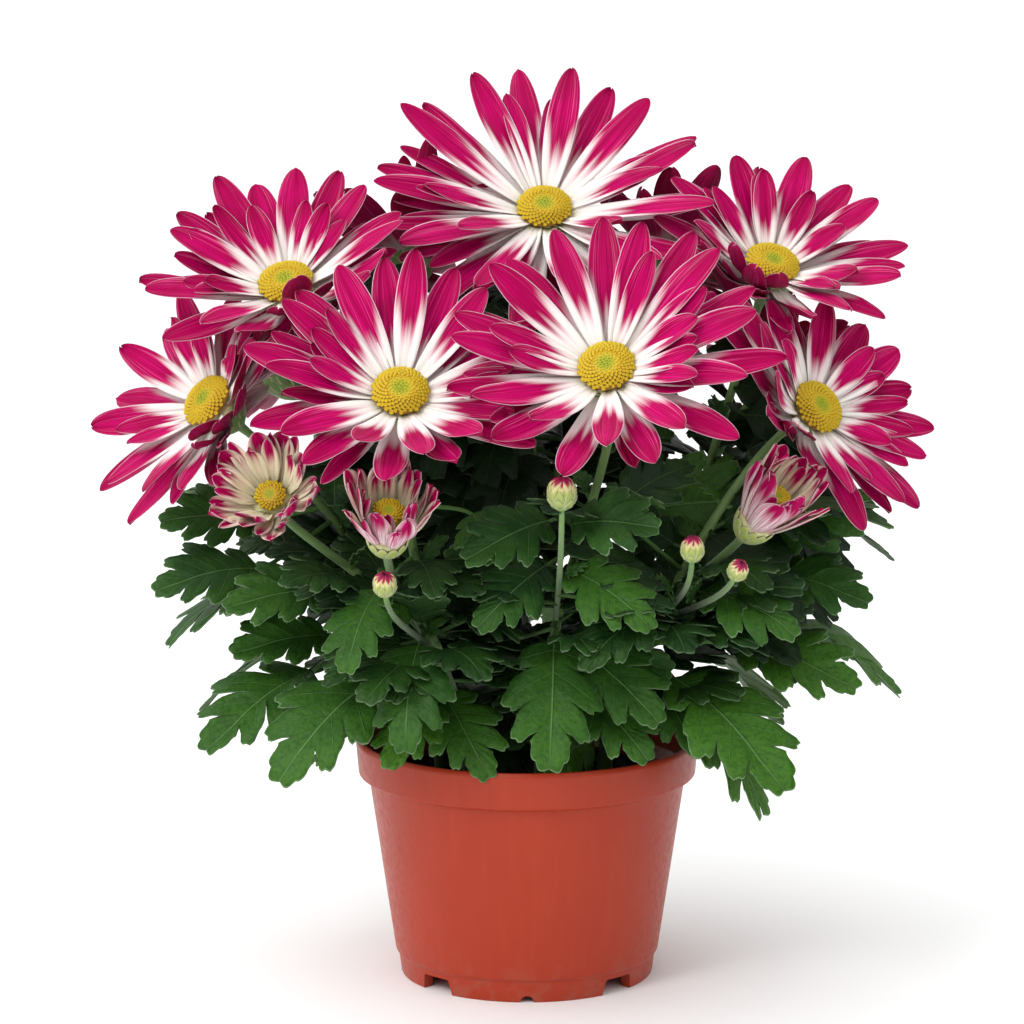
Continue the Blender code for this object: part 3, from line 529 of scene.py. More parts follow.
DARK_BRACT, LIGHT_BRACT = (0.09, 0.20, 0.04), (0.20, 0.34, 0.09)
YELLOW_BRACT, PAPERY_EDGE = (0.50, 0.52, 0.10), (0.42, 0.44, 0.22)
cup_finish, tree, shader = new_finish("green_bracts", 0.6)
rim, tint = (stored(tree, name) for name in CUP_DATA)
place = object_place(tree)
green = blend_colour(tree, speckle(tree, place, 500.0), DARK_BRACT, LIGHT_BRACT)
green = blend_colour(tree, tint, green, YELLOW_BRACT)
colour = blend_colour(tree, ease(tree, rim, 0.62, 0.95), green, PAPERY_EDGE)
tree.links.new(colour, shader.inputs["Base Color"])
shader.inputs["Sheen Weight"].default_value = 0.2
raise_grain(tree, shader, speckle(tree, place, 1400.0), 0.0001)


def add_cup(shape, outline, place, size, tint):
    """The smooth cup inside the bracts."""
    cup = spin_solid([(radius * size, height * size, 0) for radius, height in outline], 24)
    verts = add_copy(shape, mesh_from("cup", cup))
    bmesh.ops.transform(shape, matrix=place, verts=verts)
    for vert in verts:
        vert[shape.verts.layers.float["tint"]] = tint


def add_bracts(shape, row, place, size, tint):
    """A row of bracts from a low ring (radius, height) to a higher one, each bowed outwards."""
    rims, tints = (shape.verts.layers.float[name] for name in CUP_DATA)
    low, high = [(radius * size, height * size) for radius, height in (row.low, row.high)]
    for index in range(row.count):
        angle = Matrix.Rotation(2 * math.pi * (index + row.turn) / row.count, 4, "Z")
        for vert in add_copy(shape, bract_slab):
            t, side, under = vert.co
            half = row.width * size / 2 * max(math.sin(math.pi * (0.12 + 0.88 * t)), 0.03) ** 0.6
            bulge = row.bulge * size * 4 * t * (1 - t)
            radius = low[0] + (high[0] - low[0]) * t + bulge + 0.35 * under
            height = low[1] + (high[1] - low[1]) * t
            hug = half * side / max(radius, 1)
            vert[rims] = max(abs(side), t ** 3)
            vert[tints] = tint * t
            vert.co = place @ angle @ Vector((radius * math.cos(hug), radius * math.sin(hug), height))


def hair_places(shape, count, lengths, draw):
    """A matrix for each of the fine hairs that stand out all over a shape."""
    faces = [face for face in shape.faces if face.calc_area() > 0.05]
    for face in draw.choices(faces, weights=[face.calc_area() for face in faces], k=count):
        spot = face.calc_center_median().lerp(draw.choice(face.verts).co, draw.uniform(0, 0.8))
        lean = Vector((draw.uniform(-1, 1), draw.uniform(-1, 1), draw.uniform(-0.2, 1))) * 0.45
        way = (face.normal + lean).normalized().to_track_quat("Z", "Y").to_matrix().to_4x4()
        stretch = Matrix.Diagonal((1, 1, draw.uniform(*lengths), 1))
        yield Matrix.Translation(spot) @ way @ stretch


def grow_hairs(shape, count, lengths, draw):
    """Hairs on a shape; all their places are found before the first one changes its faces."""
    shape.normal_update()
    for hair_at in list(hair_places(shape, count, lengths, draw)):
        for vert in add_copy(shape, hair):
            vert.co = hair_at @ vert.co


cup_shapes = {name: shape_with(*CUP_DATA) for name in STEMS}
for heads, size, tint in ((OPEN_HEADS, 1.0, 0.0), (HALF_HEADS, HALF_SIZE, HALF_HEAD_TINT)):
    for head in heads.values():
        add_cup(cup_shapes[head.stem], CUP_OUTLINE, head_place(head), size, tint * 0.5)
        for row in BRACTS:
            add_bracts(cup_shapes[head.stem], row, head_place(head), size, tint)
for bud in BUDS.values():
    add_cup(cup_shapes[bud.stem], BUD_CUP_OUTLINE, head_place(bud), bud.size, 0.3)
    for row in BUD_BRACTS:
        add_bracts(cup_shapes[bud.stem], row, head_place(bud), bud.size, BUD_TINT)
for name in STEMS:
    grow_hairs(stem_shapes[name], STEM_HAIRS, STEM_HAIR_LENGTHS, random.Random("down " + name))
    grow_hairs(cup_shapes[name], CUP_HAIRS, CUP_HAIR_LENGTHS, random.Random("cup down " + name))
    stem_piece = piece_from("branches_" + name, stem_shapes[name], stem_finish)
    cup_piece = piece_from("cups_" + name, cup_shapes[name], cup_finish)
    for piece in (stem_piece, cup_piece):
        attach(piece, "root")
        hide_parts("stem_" + name)

# The leaves. Each is cut into three pairs of lobes and an end lobe, with rounded teeth and narrow
# notches, dark green and quilted between sunken veins, on a stalk that grows from the stem.
FRONT_LEAVES = (
    ("front_middle", (8, -44, 128), (6, -74, 88)),
    ("front_middle", (14, -44, 126), (42, -68, 102)),
    ("front_right", (50, -38, 113), (86, -68, 77)),
    ("front_right", (68, -20, 121), (108, -40, 107)),
    ("front_right", (82, -18, 145), (117, -36, 136)),
    ("front_right", (55, -46, 145), (86, -66, 134)),
    ("front_middle", (12, -52, 155), (39, -74, 139)),
    ("front_middle", (6, -54, 155), (-12, -79, 133)),
    ("front_middle", (12, -58, 172), (43, -77, 167)),
    ("front_right", (28, -48, 173), (61, -58, 176)),
    ("front_middle", (7, -58, 171), (-22, -79, 160)),
    ("right", (84, -6, 156), (118, -18, 166)),
    ("left", (-74, -22, 112), (-109, -48, 86)),
    ("front_left", (-48, -36, 114), (-84, -68, 82)),
    ("front_left", (-31, -46, 128), (-35, -76, 97)),
    ("front_left", (-30, -38, 126), (-8, -62, 112)),
    ("left", (-92, -18, 147), (-128, -32, 140)),
    ("left", (-94, -4, 161), (-128, -12, 163)),
    ("left", (-68, -16, 123), (-102, -34, 118)),
    ("front_left", (-50, -56, 147), (-60, -79, 122)),
    ("front_left", (-32, -40, 104), (-47, -66, 86)),
    ("front_middle", (18, -38, 108), (41, -62, 89)),
    ("front_left", (-26, -32, 106), (-11, -58, 88)),
    ("left", (-68, -34, 142), (-103, -50, 138)),
    ("front_left", (-16, -44, 172), (-34, -64, 147)),
    ("front_right", (41, -30, 110), (57, -56, 90)),
)
# The other leaves follow a rule: each is a golden share of the arc on from the last. The outer ones
# go round the sides and back, and the inner ones fill the middle of the plant.
GOLDEN_SHARE = 0.618034
Rule = namedtuple("Rule", "count seed arc low high inset length upward")
OUTER_RULE = Rule(16, 20, (62, 236), 98, 182, 66, (48, 58), 0.9)
INNER_RULE = Rule(22, 11, (-150, 300), 90, 172, 30, (44, 54), 0.2)
# The places tried in turn for a leaf of the solid, until it was clear of the others: turn about the
# upright, rise of the tip, share of its length, and shift away from the pot's axis
LEAF_TRIES = (
    (0, 0, 1, 0), (0, 0, 1, 5), (7, 0, 1, 0), (-7, 0, 1, 0), (0, 5, 1, 3), (0, -5, 1, 3), (0, 0, 1, 10),
    (7, 0, 1, 6), (-7, 0, 1, 6), (13, 4, 1, 0), (-13, 4, 1, 0), (0, 6, 0.95, 13), (7, -8, 0.95, 6),
    (-7, -8, 0.95, 6), (0, 9, 0.9, 0), (20, 0, 0.9, 4), (-20, 0, 0.9, 4), (0, 0, 0.8, 8),
    (14, 8, 0.8, 0), (-14, 8, 0.8, 0), (0, -8, 0.75, 5), (0, 4, 0.65, 0), (25, 4, 0.65, 4),
    (-25, 4, 0.65, 4), (40, 0, 0.9, 4), (-40, 0, 0.9, 4), (60, 5, 0.8, 6), (-60, 5, 0.8, 6),
    (0, 12, 0.8, 12), (30, -8, 0.8, 8), (-30, -8, 0.8, 8),
)
LEAF_ARCH = 0.12
STALK_LENGTH = 12
STALK_BEND = math.radians(75)
STALK_STEPS = 8
LEAF_ROWS = 48
LEAF_COLUMNS = 8
LEAF_MATCH = 0.08  # how near a point of the solid has to be, in millimetres
Leaf = namedtuple("Leaf", "stem foot tip face stem_point")
LeafLobe = namedtuple("LeafLobe", "last start end reach notch first_angle last_angle")
SIDE_LOBES = (
    LeafLobe(8, 0.0, 0.16, 0.30, 0.12, 68, 60),
    LeafLobe(20, 0.16, 0.38, 0.47, 0.13, 56, 48),
    LeafLobe(31, 0.38, 0.58, 0.42, 0.11, 46, 38),
)
END_LOBE_MIDDLE = 0.73
END_LOBE_SIZE = (0.275, 0.145)  # half its length and half its width
VEIN_ROWS = (4, 14, 25, 36, 41)


def level_way(angle):
    """The level direction at an angle from the front, towards the plant's right."""
    return Vector((math.sin(angle), -math.cos(angle), 0))


def sloped(away, slope):
    """A level direction tilted up by an angle."""
    return away * math.cos(slope) + Vector((0, 0, math.sin(slope)))


def nearest(paths, point):
    """The closest point on any of the paths, at its middle line."""
    found = []
    for path in paths:
        for start, end in zip(path, path[1:]):
            share = intersect_point_line(point, start, end)[1]
            found.append(start.lerp(end, min(max(share, 0.05), 0.95)))
    return min(found, key=lambda other: (other - point).length)


def nearest_stem(lines, point):
    """The name of the stem that passes closest to a point."""
    return min(lines, key=lambda stem: (nearest(lines[stem], point) - point).length)


def behind(foot, tip):
    """A spot a stalk's length behind the foot of a leaf."""
    return foot - (tip - foot).normalized() * STALK_LENGTH


def front_leaves(lines):
    """The large leaves of the front, which turn their faces to the front as well as up."""
    for name, foot, tip in FRONT_LEAVES:
        foot, tip = Vector(foot), Vector(tip)
        face = Vector((0.004 * (foot.x + tip.x), -1, 0.6))
        yield Leaf(name, foot, tip, face, nearest(lines[name], behind(foot, tip)))


def rule_leaves(lines, rule):
    """Leaves by rule, from low and drooping ones to high and level ones."""
    draw = random.Random(rule.seed)
    first, sweep = rule.arc
    for index in range(rule.count):
        share = (index + 0.5) / rule.count
        away = level_way(math.radians(first + sweep * (index * GOLDEN_SHARE % 1)))
        height = rule.low + (rule.high - rule.low) * share
        foot = away * rule.inset * (0.75 + 0.5 * math.sin(math.pi * 0.8 * share)) + Vector((0, 6, height))
        slope = math.radians(-50 + 58 * share + draw.uniform(-8, 8))
        tip = foot + sloped(away, slope) * draw.uniform(*rule.length)
        start = behind(foot, tip)
        name = nearest_stem(lines, start)
        yield Leaf(name, foot, tip, away + Vector((0, 0, rule.upward)), nearest(lines[name], start))


def points_of(node):
    """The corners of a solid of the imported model, in millimetres about the pot's axis, to search."""
    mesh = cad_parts[node].data
    tree = KDTree(len(mesh.vertices))
    back = IN_PLACE.inverted()
    for vert in mesh.vertices:
        tree.insert(back @ vert.co, vert.index)
    tree.balance()
    return tree


def leaf_axes(leaf):
    """A leaf's length, and its along, across and upper directions."""
    length = (leaf.tip - leaf.foot).length
    along = (leaf.tip - leaf.foot) / length
    above = (leaf.face - along * leaf.face.dot(along)).normalized()
    return length, along, along.cross(above), above


def placed(leaf, corners):
    """The leaf as it was placed in the solid, or nothing if the solid has none there."""
    away = Vector((leaf.foot.x, leaf.foot.y, 0)).normalized()
    for turn, rise, share, shift in LEAF_TRIES:
        foot = leaf.foot + away * shift
        blade = Matrix.Rotation(math.radians(turn), 3, "Z") @ (leaf.tip - leaf.foot) * share
        tried = leaf._replace(foot=foot, tip=foot + blade + Vector((0, 0, rise)))
        if (tried.tip - foot).angle(foot - leaf.stem_point) > STALK_BEND:
            continue
        above = leaf_axes(tried)[3] * 0.4
        if all(corners.find(point + above)[2] < LEAF_MATCH for point in (tried.tip, tried.foot)):
            return tried
    return None


def lobe_rows(draw):
    """For each row across a leaf: where it leaves the midrib, how far on and out it goes, its bow."""
    rows = []
    notch, first = 0.03, 0
    for lobe in SIDE_LOBES:
        reach = lobe.reach * draw.uniform(0.92, 1.06)
        for row in range(first, lobe.last):
            share = (row - first) / (lobe.last - first)
            floor = notch + (lobe.notch - notch) * share
            bulge = math.sin(math.pi * share) ** 0.7
            teeth = 1 - 0.13 * bulge * (1 - abs(math.sin(3 * math.pi * share)))
            far = (floor + (reach - floor) * bulge) * teeth
            turn = math.radians(lobe.first_angle + (lobe.last_angle - lobe.first_angle) * share)
            rows.append((lobe.start + (lobe.end - lobe.start) * share, far * math.cos(turn),
                         far * math.sin(turn), 0.6 * (share - 0.5) * bulge * far))
        notch, first = lobe.notch, lobe.last
    half_length, half_width = END_LOBE_SIZE
    for row in range(first, LEAF_ROWS + 1):
        share = (row - first) / (LEAF_ROWS - first)
        teeth = 1 - 0.11 * (1 - abs(math.sin((2.5 * share + 0.5) * math.pi)))
        turn = math.pi / 2 * (1 - share) ** 0.9
        start = 0.60 + 0.14 * share
        rows.append((start, END_LOBE_MIDDLE - start + half_length * math.cos(turn) ** 0.75 * teeth,
                     max(half_width * math.sin(turn) ** 0.75 * teeth * min(0.6 + 4 * share, 1), 0.0015), 0))
    return rows


leaf_slab, filling_slab = slab(LEAF_ROWS, LEAF_COLUMNS), slab(LEAF_ROWS, LEAF_COLUMNS // 2)
small_slab = slab(LEAF_ROWS // 2, LEAF_COLUMNS // 2)
LEAF_DATA = ("vein", "out", "edge", "tone", "under")


def add_leaf(shape, leaf, draw, blade=leaf_slab, painted_shade=0.0):
    """A lobed blade bent as the solid's leaf is, and its stalk down into the stem."""
    length, along, across, above = leaf_axes(leaf)
    data = [shape.verts.layers.float[name] for name in LEAF_DATA]
    sides = {1: lobe_rows(draw), -1: lobe_rows(draw)}
    # Leaves given painted shade carry a tone below zero, which the leaf finish darkens towards black.
    tone = draw.random() if painted_shade == 0 else -painted_shade * draw.uniform(0.8, 1)
    ripple, phase = draw.uniform(0.2, 0.8), draw.uniform(*ANY_TURN)
    bend = draw.uniform(-0.05, 0.09)
    for vert in add_copy(shape, blade):
        row = round(vert.co.x * LEAF_ROWS)
        side, under = vert.co.y, -vert.co.z
        u, onward, outward, bow = sides[1 if side >= 0 else -1][row]
        share = abs(side)
        x = u + onward * share + bow * share * share
        wide = outward * share
        gap = min(abs(row - vein_row) for vein_row in VEIN_ROWS) / LEAF_ROWS
        lift = 0.22 * wide - 0.6 * wide * wide + LEAF_ARCH * 4 * x * (1 - x)
        lift += bend * x * x * share + 0.06 * share * wide * math.sin(9 * x + phase)
        quilt = (0.25 * min(gap / 0.05, 1) * min(share / 0.15, 1) + ripple * share ** 3 *
                 math.sin(26 * u + phase + side)) * min(1, (1.02 - u) * 6)
        vert.co = leaf.foot + along * length * x + across * math.copysign(wide * length, side)
        vert.co += above * (length * lift + quilt * 0.9 - 0.45 * under)
        for layer, value in zip(data, (gap, wide, share, tone, under)):
            vert[layer] = value
    reach = leaf.foot - leaf.stem_point
    path = smooth_path(leaf.stem_point, reach * 0.9, leaf.foot + along * 2.5,
                       along * reach.length * 0.9, STALK_STEPS)
    stalk = bmesh.new()
    widths = [1.0 - 0.045 * step for step in range(STALK_STEPS + 1)]
    grow(stalk, [point - above * 0.35 for point in path], widths, 6)
    stalk_mesh = mesh_from("stalk", stalk)
    veins, tones = data[LEAF_DATA.index("vein")], data[LEAF_DATA.index("tone")]
    for vert in add_copy(shape, stalk_mesh):
        vert[veins] = 0.1
        vert[tones] = tone
    bpy.data.meshes.remove(stalk_mesh)


LEAF_GREEN, SUNNY_GREEN, CLOUD_GREEN = (0.010, 0.045, 0.010), (0.060, 0.180, 0.012), (0.050, 0.150, 0.012)
VEIN_GREEN, RIM_HIGHLIGHT_GREEN = (0.14, 0.28, 0.085), (0.26, 0.38, 0.21)
UNDERSIDE_GREEN, PAINTED_SHADE_GREEN = (0.045, 0.105, 0.030), (0.003, 0.011, 0.003)
leaf_finish, tree, shader = new_finish("cut_green_leaf", 0.5)
vein, out, edge, tone, under = (stored(tree, name) for name in LEAF_DATA)
place = object_place(tree)
cloud = speckle(tree, place, 60.0, 3.0)
low = rest(tree, ease(tree, height_of(tree, place), 0.075, 0.15))
sunny = calc(tree, "ADD", times(tree, calc(tree, "MAXIMUM", tone, 0.0), 0.55), times(tree, low, 0.45))
colour = blend_colour(tree, sunny, LEAF_GREEN, SUNNY_GREEN)
colour = blend_colour(tree, times(tree, ease(tree, cloud, 0.35, 0.7), 0.45), colour, CLOUD_GREEN)
fine = ease(tree, speckle(tree, place, 700.0, 3.0), 0.45, 0.65)
colour = blend_colour(tree, times(tree, fine, 0.4), colour, LEAF_GREEN)
side_width = calc(tree, "SUBTRACT", 0.0065, times(tree, edge, 0.004))
side_vein = rest(tree, ease(tree, calc(tree, "DIVIDE", vein, side_width), 0.3, 1.1))
side_vein = times(tree, side_vein, rest(tree, ease(tree, edge, 0.6, 0.92)))
middle_vein = rest(tree, ease(tree, out, 0.003, 0.011))
veins = calc(tree, "MAXIMUM", middle_vein, times(tree, side_vein, 0.55))
colour = blend_colour(tree, times(tree, veins, 0.6), colour, VEIN_GREEN)
# Painted highlight: a pale line along parts of the leaf margins, where the cut edges catch the light.
painted_rim_highlight = times(tree, ease(tree, edge, 0.965, 1.0), ease(tree, cloud, 0.3, 0.6))
colour = blend_colour(tree, times(tree, painted_rim_highlight, 0.55), colour, RIM_HIGHLIGHT_GREEN)
colour = blend_colour(tree, times(tree, under, 0.7), colour, UNDERSIDE_GREEN)
# Painted shade: leaves whose tone is below zero are darkened almost to black.
colour = blend_colour(tree, times(tree, ease(tree, tone, 0.0, -1.0), 0.85), colour, PAINTED_SHADE_GREEN)
tree.links.new(colour, shader.inputs["Base Color"])
shader.inputs["Specular IOR Level"].default_value = 0.17
relief = calc(tree, "SUBTRACT", speckle(tree, place, 380.0, 3.0), times(tree, veins, 0.8))
raise_grain(tree, shader, relief, 0.0006)

TRUNK_LEAVES = 9
BRANCH_LEAVES = 5
FILL_HEIGHTS = (84, 190)
FILL_LENGTH = (26, 42)
SHADED_COUNT = 150
SHADED_LENGTH = (36, 48)
LEAFLET_LENGTH = (9, 15)
RIM_REACH = 100  # leaves under this height stay within RIM_ROOM of the pot's axis
RIM_ROOM = 42


def hits_rim(tip):
    """Whether a leaf that grew in the pot would have to go through its rim to reach this tip."""
    return tip.z < RIM_REACH and tip.xy.length > RIM_ROOM


def hits_head(foot, tip):
    """Whether a leaf between these ends would stand in the petals of a head."""
    for head in (*OPEN_HEADS.values(), *HALF_HEADS.values()):
        for share in (0.2, 0.6, 1):
            spot = head_place(head).inverted() @ foot.lerp(tip, share)
            if spot.z > -6 and spot.length < head.length:
                return True
    return False


def point_along(path, share):
    """The point of a path after so large a share of its parts."""
    spot = share * (len(path) - 1)
    return path[int(spot)].lerp(path[int(spot) + 1], spot % 1)


def filling_leaves(lines, draw):
    """The small leaves of the shaded middle, set spirally up the trunks and the lower branches."""
    lowest, highest = FILL_HEIGHTS
    turn = 0.0
    for name, paths in lines.items():
        for path in paths:
            trunk = path is paths[0]
            for index in range(TRUNK_LEAVES if trunk else BRANCH_LEAVES):
                turn += 360 * GOLDEN_SHARE
                share = (index + 1) / (TRUNK_LEAVES + 1) if trunk else draw.uniform(0.05, 0.62)
                start = point_along(path, share)
                if start.z < lowest or start.z > highest:
                    continue
                away = level_way(math.radians(turn))
                way = sloped(away, math.radians(draw.uniform(-25, 25)))
                foot = start + way * draw.uniform(6, 14)
                tip = foot + way * draw.uniform(*FILL_LENGTH)
                if hits_rim(tip):
                    continue
                face = Vector((away.x * 0.6, away.y * 0.6 - 0.25, draw.uniform(0.4, 1.0)))
                yield Leaf(name, foot, tip, face, start)


def painted_shade_leaves(lines, draw):
    """The broad leaves of the middle of the plant, between the stems, near black with painted shade."""
    for index in range(SHADED_COUNT):
        share = (index + 0.5) / SHADED_COUNT
        share += 0.05 * math.sin(2 * math.pi * (share - 0.15))
        away = level_way(2 * math.pi * index * GOLDEN_SHARE)
        spread = (54 + 20 * math.sin(math.pi * share)) * math.sqrt(index * (1 - GOLDEN_SHARE) % 1)
        foot = Vector((away.x * spread * 1.2, away.y * spread + 12, 98 + 158 * share))
        way = sloped(away, math.radians(draw.uniform(-58, 4)))
        tip = foot + way * draw.uniform(*SHADED_LENGTH)
        if tip.y < -58 or hits_rim(tip) or hits_head(foot, tip):
            continue
        start = behind(foot, tip)
        name = nearest_stem(lines, start)
        face = Vector((away.x * 0.5, away.y * 0.5 - 0.6, 0.7))
        yield Leaf(name, foot, tip, face, nearest(lines[name], start))


def leaflets(lines, draw):
    """The tiny pale leaves that stand on the stalks of the heads, a finger's width under them."""
    for name, paths in lines.items():
        for path in paths[1:]:
            for share in (0.45, 0.72):
                start = point_along(path, share)
                away = level_way(draw.uniform(0, 2 * math.pi))
                way = (away + Vector((0, 0, draw.uniform(0.5, 1.4)))).normalized()
                foot = start + way * 2.5
                tip = foot + way * draw.uniform(*LEAFLET_LENGTH)
                yield Leaf(name, foot, tip, Vector((0, -0.4, 1)) - way, start)


leaf_shapes = {name: shape_with(*LEAF_DATA) for name in STEMS}
solid_corners = {name: points_of("stem_" + name) for name in STEMS}
draw = random.Random(31)
solid_leaves = [*front_leaves(middle_lines), *rule_leaves(middle_lines, OUTER_RULE),
                *rule_leaves(middle_lines, INNER_RULE)]
for leaf in solid_leaves:
    fitted = placed(leaf, solid_corners[leaf.stem])
    if fitted:
        add_leaf(leaf_shapes[leaf.stem], fitted, draw)
# The filling leaves get half the painted shade and the broad middle leaves all of it; the leaflets none.
for rule, blade, painted_shade in ((filling_leaves, filling_slab, 0.5), (painted_shade_leaves, small_slab, 1.0),
                           (leaflets, small_slab, 0.0)):
    for leaf in rule(middle_lines, draw):
        add_leaf(leaf_shapes[leaf.stem], leaf, draw, blade, painted_shade)
for name in STEMS:
    leaf_piece = piece_from("leaves_" + name, leaf_shapes[name], leaf_finish)
    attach(leaf_piece, "root")
    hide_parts("stem_" + name)

# The ray petals. Two rows of long petals grow from the rim of each head's cup: white towards the
# middle and magenta outside, with a thin white edge and two grooves that the colour runs down.
Petal = namedtuple("Petal", "turn root drop length width lift curl twist")
PETAL_DATA = ("along", "side", "tone", "under")
WIDEST = 0.62
ROOT_WIDTH = 0.22
PETAL_MATCH = 0.05
YOUNG_TIP = 0.72  # how far along the pattern the tip of a half-open petal has come
YOUNG_BACK = 0.15  # and how much of the dark colour of the back
# The places tried in turn for a petal of the solid, until it was clear: extra lift, share of its
# length, and turn round the head
PETAL_TRIES = (
    (0, 1, 0), (6, 1, 0), (-6, 1, 0), (0, 1, 4), (0, 1, -4), (12, 1, 0), (-11, 1, 0), (6, 0.92, 4),
    (-6, 0.92, -4), (18, 0.92, 0), (0, 0.84, 0), (12, 0.84, 0), (-12, 0.84, 0), (25, 0.84, 0),
    (0, 0.72, 0), (18, 0.72, 0), (32, 0.66, 0), (0, 0.58, 0), (20, 0.5, 0), (40, 0.5, 0),
)
petal_slab = slab(16, 8)


def petal_half_width(petal, t, blunt=0.75):
    if t < WIDEST:
        share = 1 - (1 - ROOT_WIDTH) * ((WIDEST - t) / WIDEST) ** 2
    else:
        share = max(1 - ((t - WIDEST) / (1 - WIDEST)) ** 2, 0) ** blunt
    return petal.width / 2 * share


def petal_point(petal, t, across, up):
    """A point of a petal in its head's frame: t along it, and across and up in millimetres."""
    angle = math.radians(petal.lift + petal.curl * t)
    chord = math.radians(petal.lift + petal.curl * t / 2)
    twist = math.radians(petal.twist) * t
    side = across * math.cos(twist) - up * math.sin(twist)
    rise = across * math.sin(twist) + up * math.cos(twist)
    far = petal.root + petal.length * t * math.cos(chord) - rise * math.sin(angle)
    height = petal.drop + petal.length * t * math.sin(chord) + rise * math.cos(angle)
    turn = math.radians(petal.turn)
    return Vector((far * math.cos(turn) - side * math.sin(turn),
                   far * math.sin(turn) + side * math.cos(turn), height))


def head_petals(head, name, half_open):
    """The petals that the solid's head set out to have: two rows, drawn from the head's own seed."""
    draw = random.Random("petals " + name)
    size = HALF_SIZE if half_open else 1.0
    petals = []
    for index in range(head.rays):
        inner = index % 2
        turn = 360 * (index + draw.uniform(-0.15, 0.15)) / head.rays
        crowding = max(math.cos(math.radians(turn - head.crowd_at)), 0) ** 2 * head.crowd
        lift = head.lift + (5 if inner else -5) + 0.2 * crowding + draw.uniform(-2, 2)
        length = head.length * draw.uniform(0.92, 1.04) * (0.95 if inner else 1)
        length *= 1 - 0.25 * crowding / 30
        width = (7.0 if half_open else 11.0) * draw.uniform(0.92, 1.06)
        curl = draw.uniform(14, 24) if half_open else draw.uniform(-6, 8) + 1.6 * crowding
        root = 6.4 if half_open else 5.4
        drop = -1.4 if inner else -3.6
        petals.append(Petal(turn, root * size, drop * size, length, width, lift, curl,
                            twist=draw.uniform(-9, 9)))
    return petals


def fitted_petals(head, name, half_open):
    """The petals of a head as they were placed in the solid; the ones that it has no room for go."""
    corners = points_of("rays_" + name)
    place = head_place(head)
    fitted = []
    for petal in head_petals(head, name, half_open):
        for lift, share, turn in PETAL_TRIES:
            tried = petal._replace(lift=petal.lift + lift, length=petal.length * share,
                                   turn=petal.turn + turn)
            half = petal_half_width(tried, 0.72)
            marks = ((1, 0, 0), (0.72, half, 0), (0.72, -half, 0))
            if all(corners.find(place @ petal_point(tried, *mark))[2] < PETAL_MATCH for mark in marks):
                fitted.append(tried)
                break
    return fitted


def add_petal(shape, petal, place, draw, young=False):
    """A grooved petal, cupped at its root and curling a little at its edges and its blunt tip."""
    data = [shape.verts.layers.float[name] for name in PETAL_DATA]
    tone, cup, tip_curl = draw.random(), draw.uniform(0.05, 0.34), draw.uniform(-1.6, 1.8)
    lean, wave = draw.uniform(-0.4, 0.4), draw.uniform(*ANY_TURN)
    ripe, back = (YOUNG_TIP, YOUNG_BACK) if young else (1.0, 1.0)
    if young:
        tone = -0.1 - 0.9 * tone
    for vert in add_copy(shape, petal_slab):
        t = math.sin(min(max(vert.co.x, 0), 1) * math.pi / 2)
        side, under = vert.co.y, -vert.co.z
        half = max(petal_half_width(petal, t, 0.52), 0.28)
        hollow = cup + 0.45 * max(0.35 - t, 0)
        groove = 0.24 * math.cos(3 * math.pi * side) * max(math.sin(math.pi * t), 0) ** 0.5
        up = half * hollow * side * side * 1.2 + groove
        up += tip_curl * max(t - 0.7, 0) * 3.3 * (0.4 + abs(side)) + lean * half * side * t * 0.3
        up += 0.3 * math.sin(7 * t + wave) * side - (0.5 - 0.4 * abs(side)) * under
        vert.co = place @ petal_point(petal, t, side * half, up)
        for layer, value in zip(data, (t * ripe, side, tone, under * back)):
            vert[layer] = value


MAGENTA, BRIGHT_MAGENTA = (0.33, 0.0, 0.060), (0.56, 0.0, 0.135)
TIP_MAGENTA, BLOTCH_MAGENTA = (0.34, 0.0, 0.058), (0.30, 0.0, 0.050)
PETAL_WHITE, PALE_ROOT, YOUNG_CREAM = (0.88, 0.85, 0.80), (0.66, 0.66, 0.36), (0.88, 0.83, 0.58)
STRIPE_PINK, WASH_PINK, EDGE_PINK = (0.60, 0.09, 0.27), (0.74, 0.30, 0.45), (0.90, 0.70, 0.78)
BACK_ROOT, BACK_TIP, BACK_STREAK = (0.62, 0.45, 0.44), (0.30, 0.004, 0.060), (0.48, 0.08, 0.17)
petal_finish, tree, shader = new_finish("white_and_magenta_petal", 0.5)
along, side, tone, under = (stored(tree, name) for name in PETAL_DATA)
edge = calc(tree, "ABSOLUTE", side)
lanes = add_node(tree, "CombineXYZ", {"X": times(tree, side, 3.2), "Y": times(tree, along, 0.9),
                                      "Z": times(tree, tone, 61.0)}).outputs[0]
streaks = speckle(tree, lanes, 1.0)
fine_streaks = speckle(tree, stretched(tree, lanes, (4.5, 1.6, 1.0)), 1.0, 3.0)
grooves = calc(tree, "COSINE", times(tree, side, 3 * math.pi))
start = 0.09
for pattern, amount in ((streaks, 0.24), (fine_streaks, 0.12), (times(tree, edge, edge), 0.30),
                        (grooves, 0.05), (tone, -0.10)):
    start = calc(tree, "ADD", start, times(tree, pattern, amount))
depth = calc(tree, "DIVIDE", calc(tree, "SUBTRACT", along, start), 0.24)
pale_streaks = times(tree, ease(tree, fine_streaks, 0.52, 0.68), ease(tree, edge, 0.1, 0.8))
flush = times(tree, ease(tree, depth, 0.0, 1.0), rest(tree, times(tree, pale_streaks, 0.16)))
wash = times(tree, ease(tree, depth, -0.7, 0.3), 0.22)
rich = blend_colour(tree, ease(tree, fine_streaks, 0.38, 0.62), MAGENTA, BRIGHT_MAGENTA)
rich = blend_colour(tree, times(tree, ease(tree, along, 0.7, 1.0), 0.5), rich, TIP_MAGENTA)
blotches = ease(tree, speckle(tree, object_place(tree), 55.0), 0.42, 0.62)
rich = blend_colour(tree, times(tree, blotches, 0.55), rich, BLOTCH_MAGENTA)
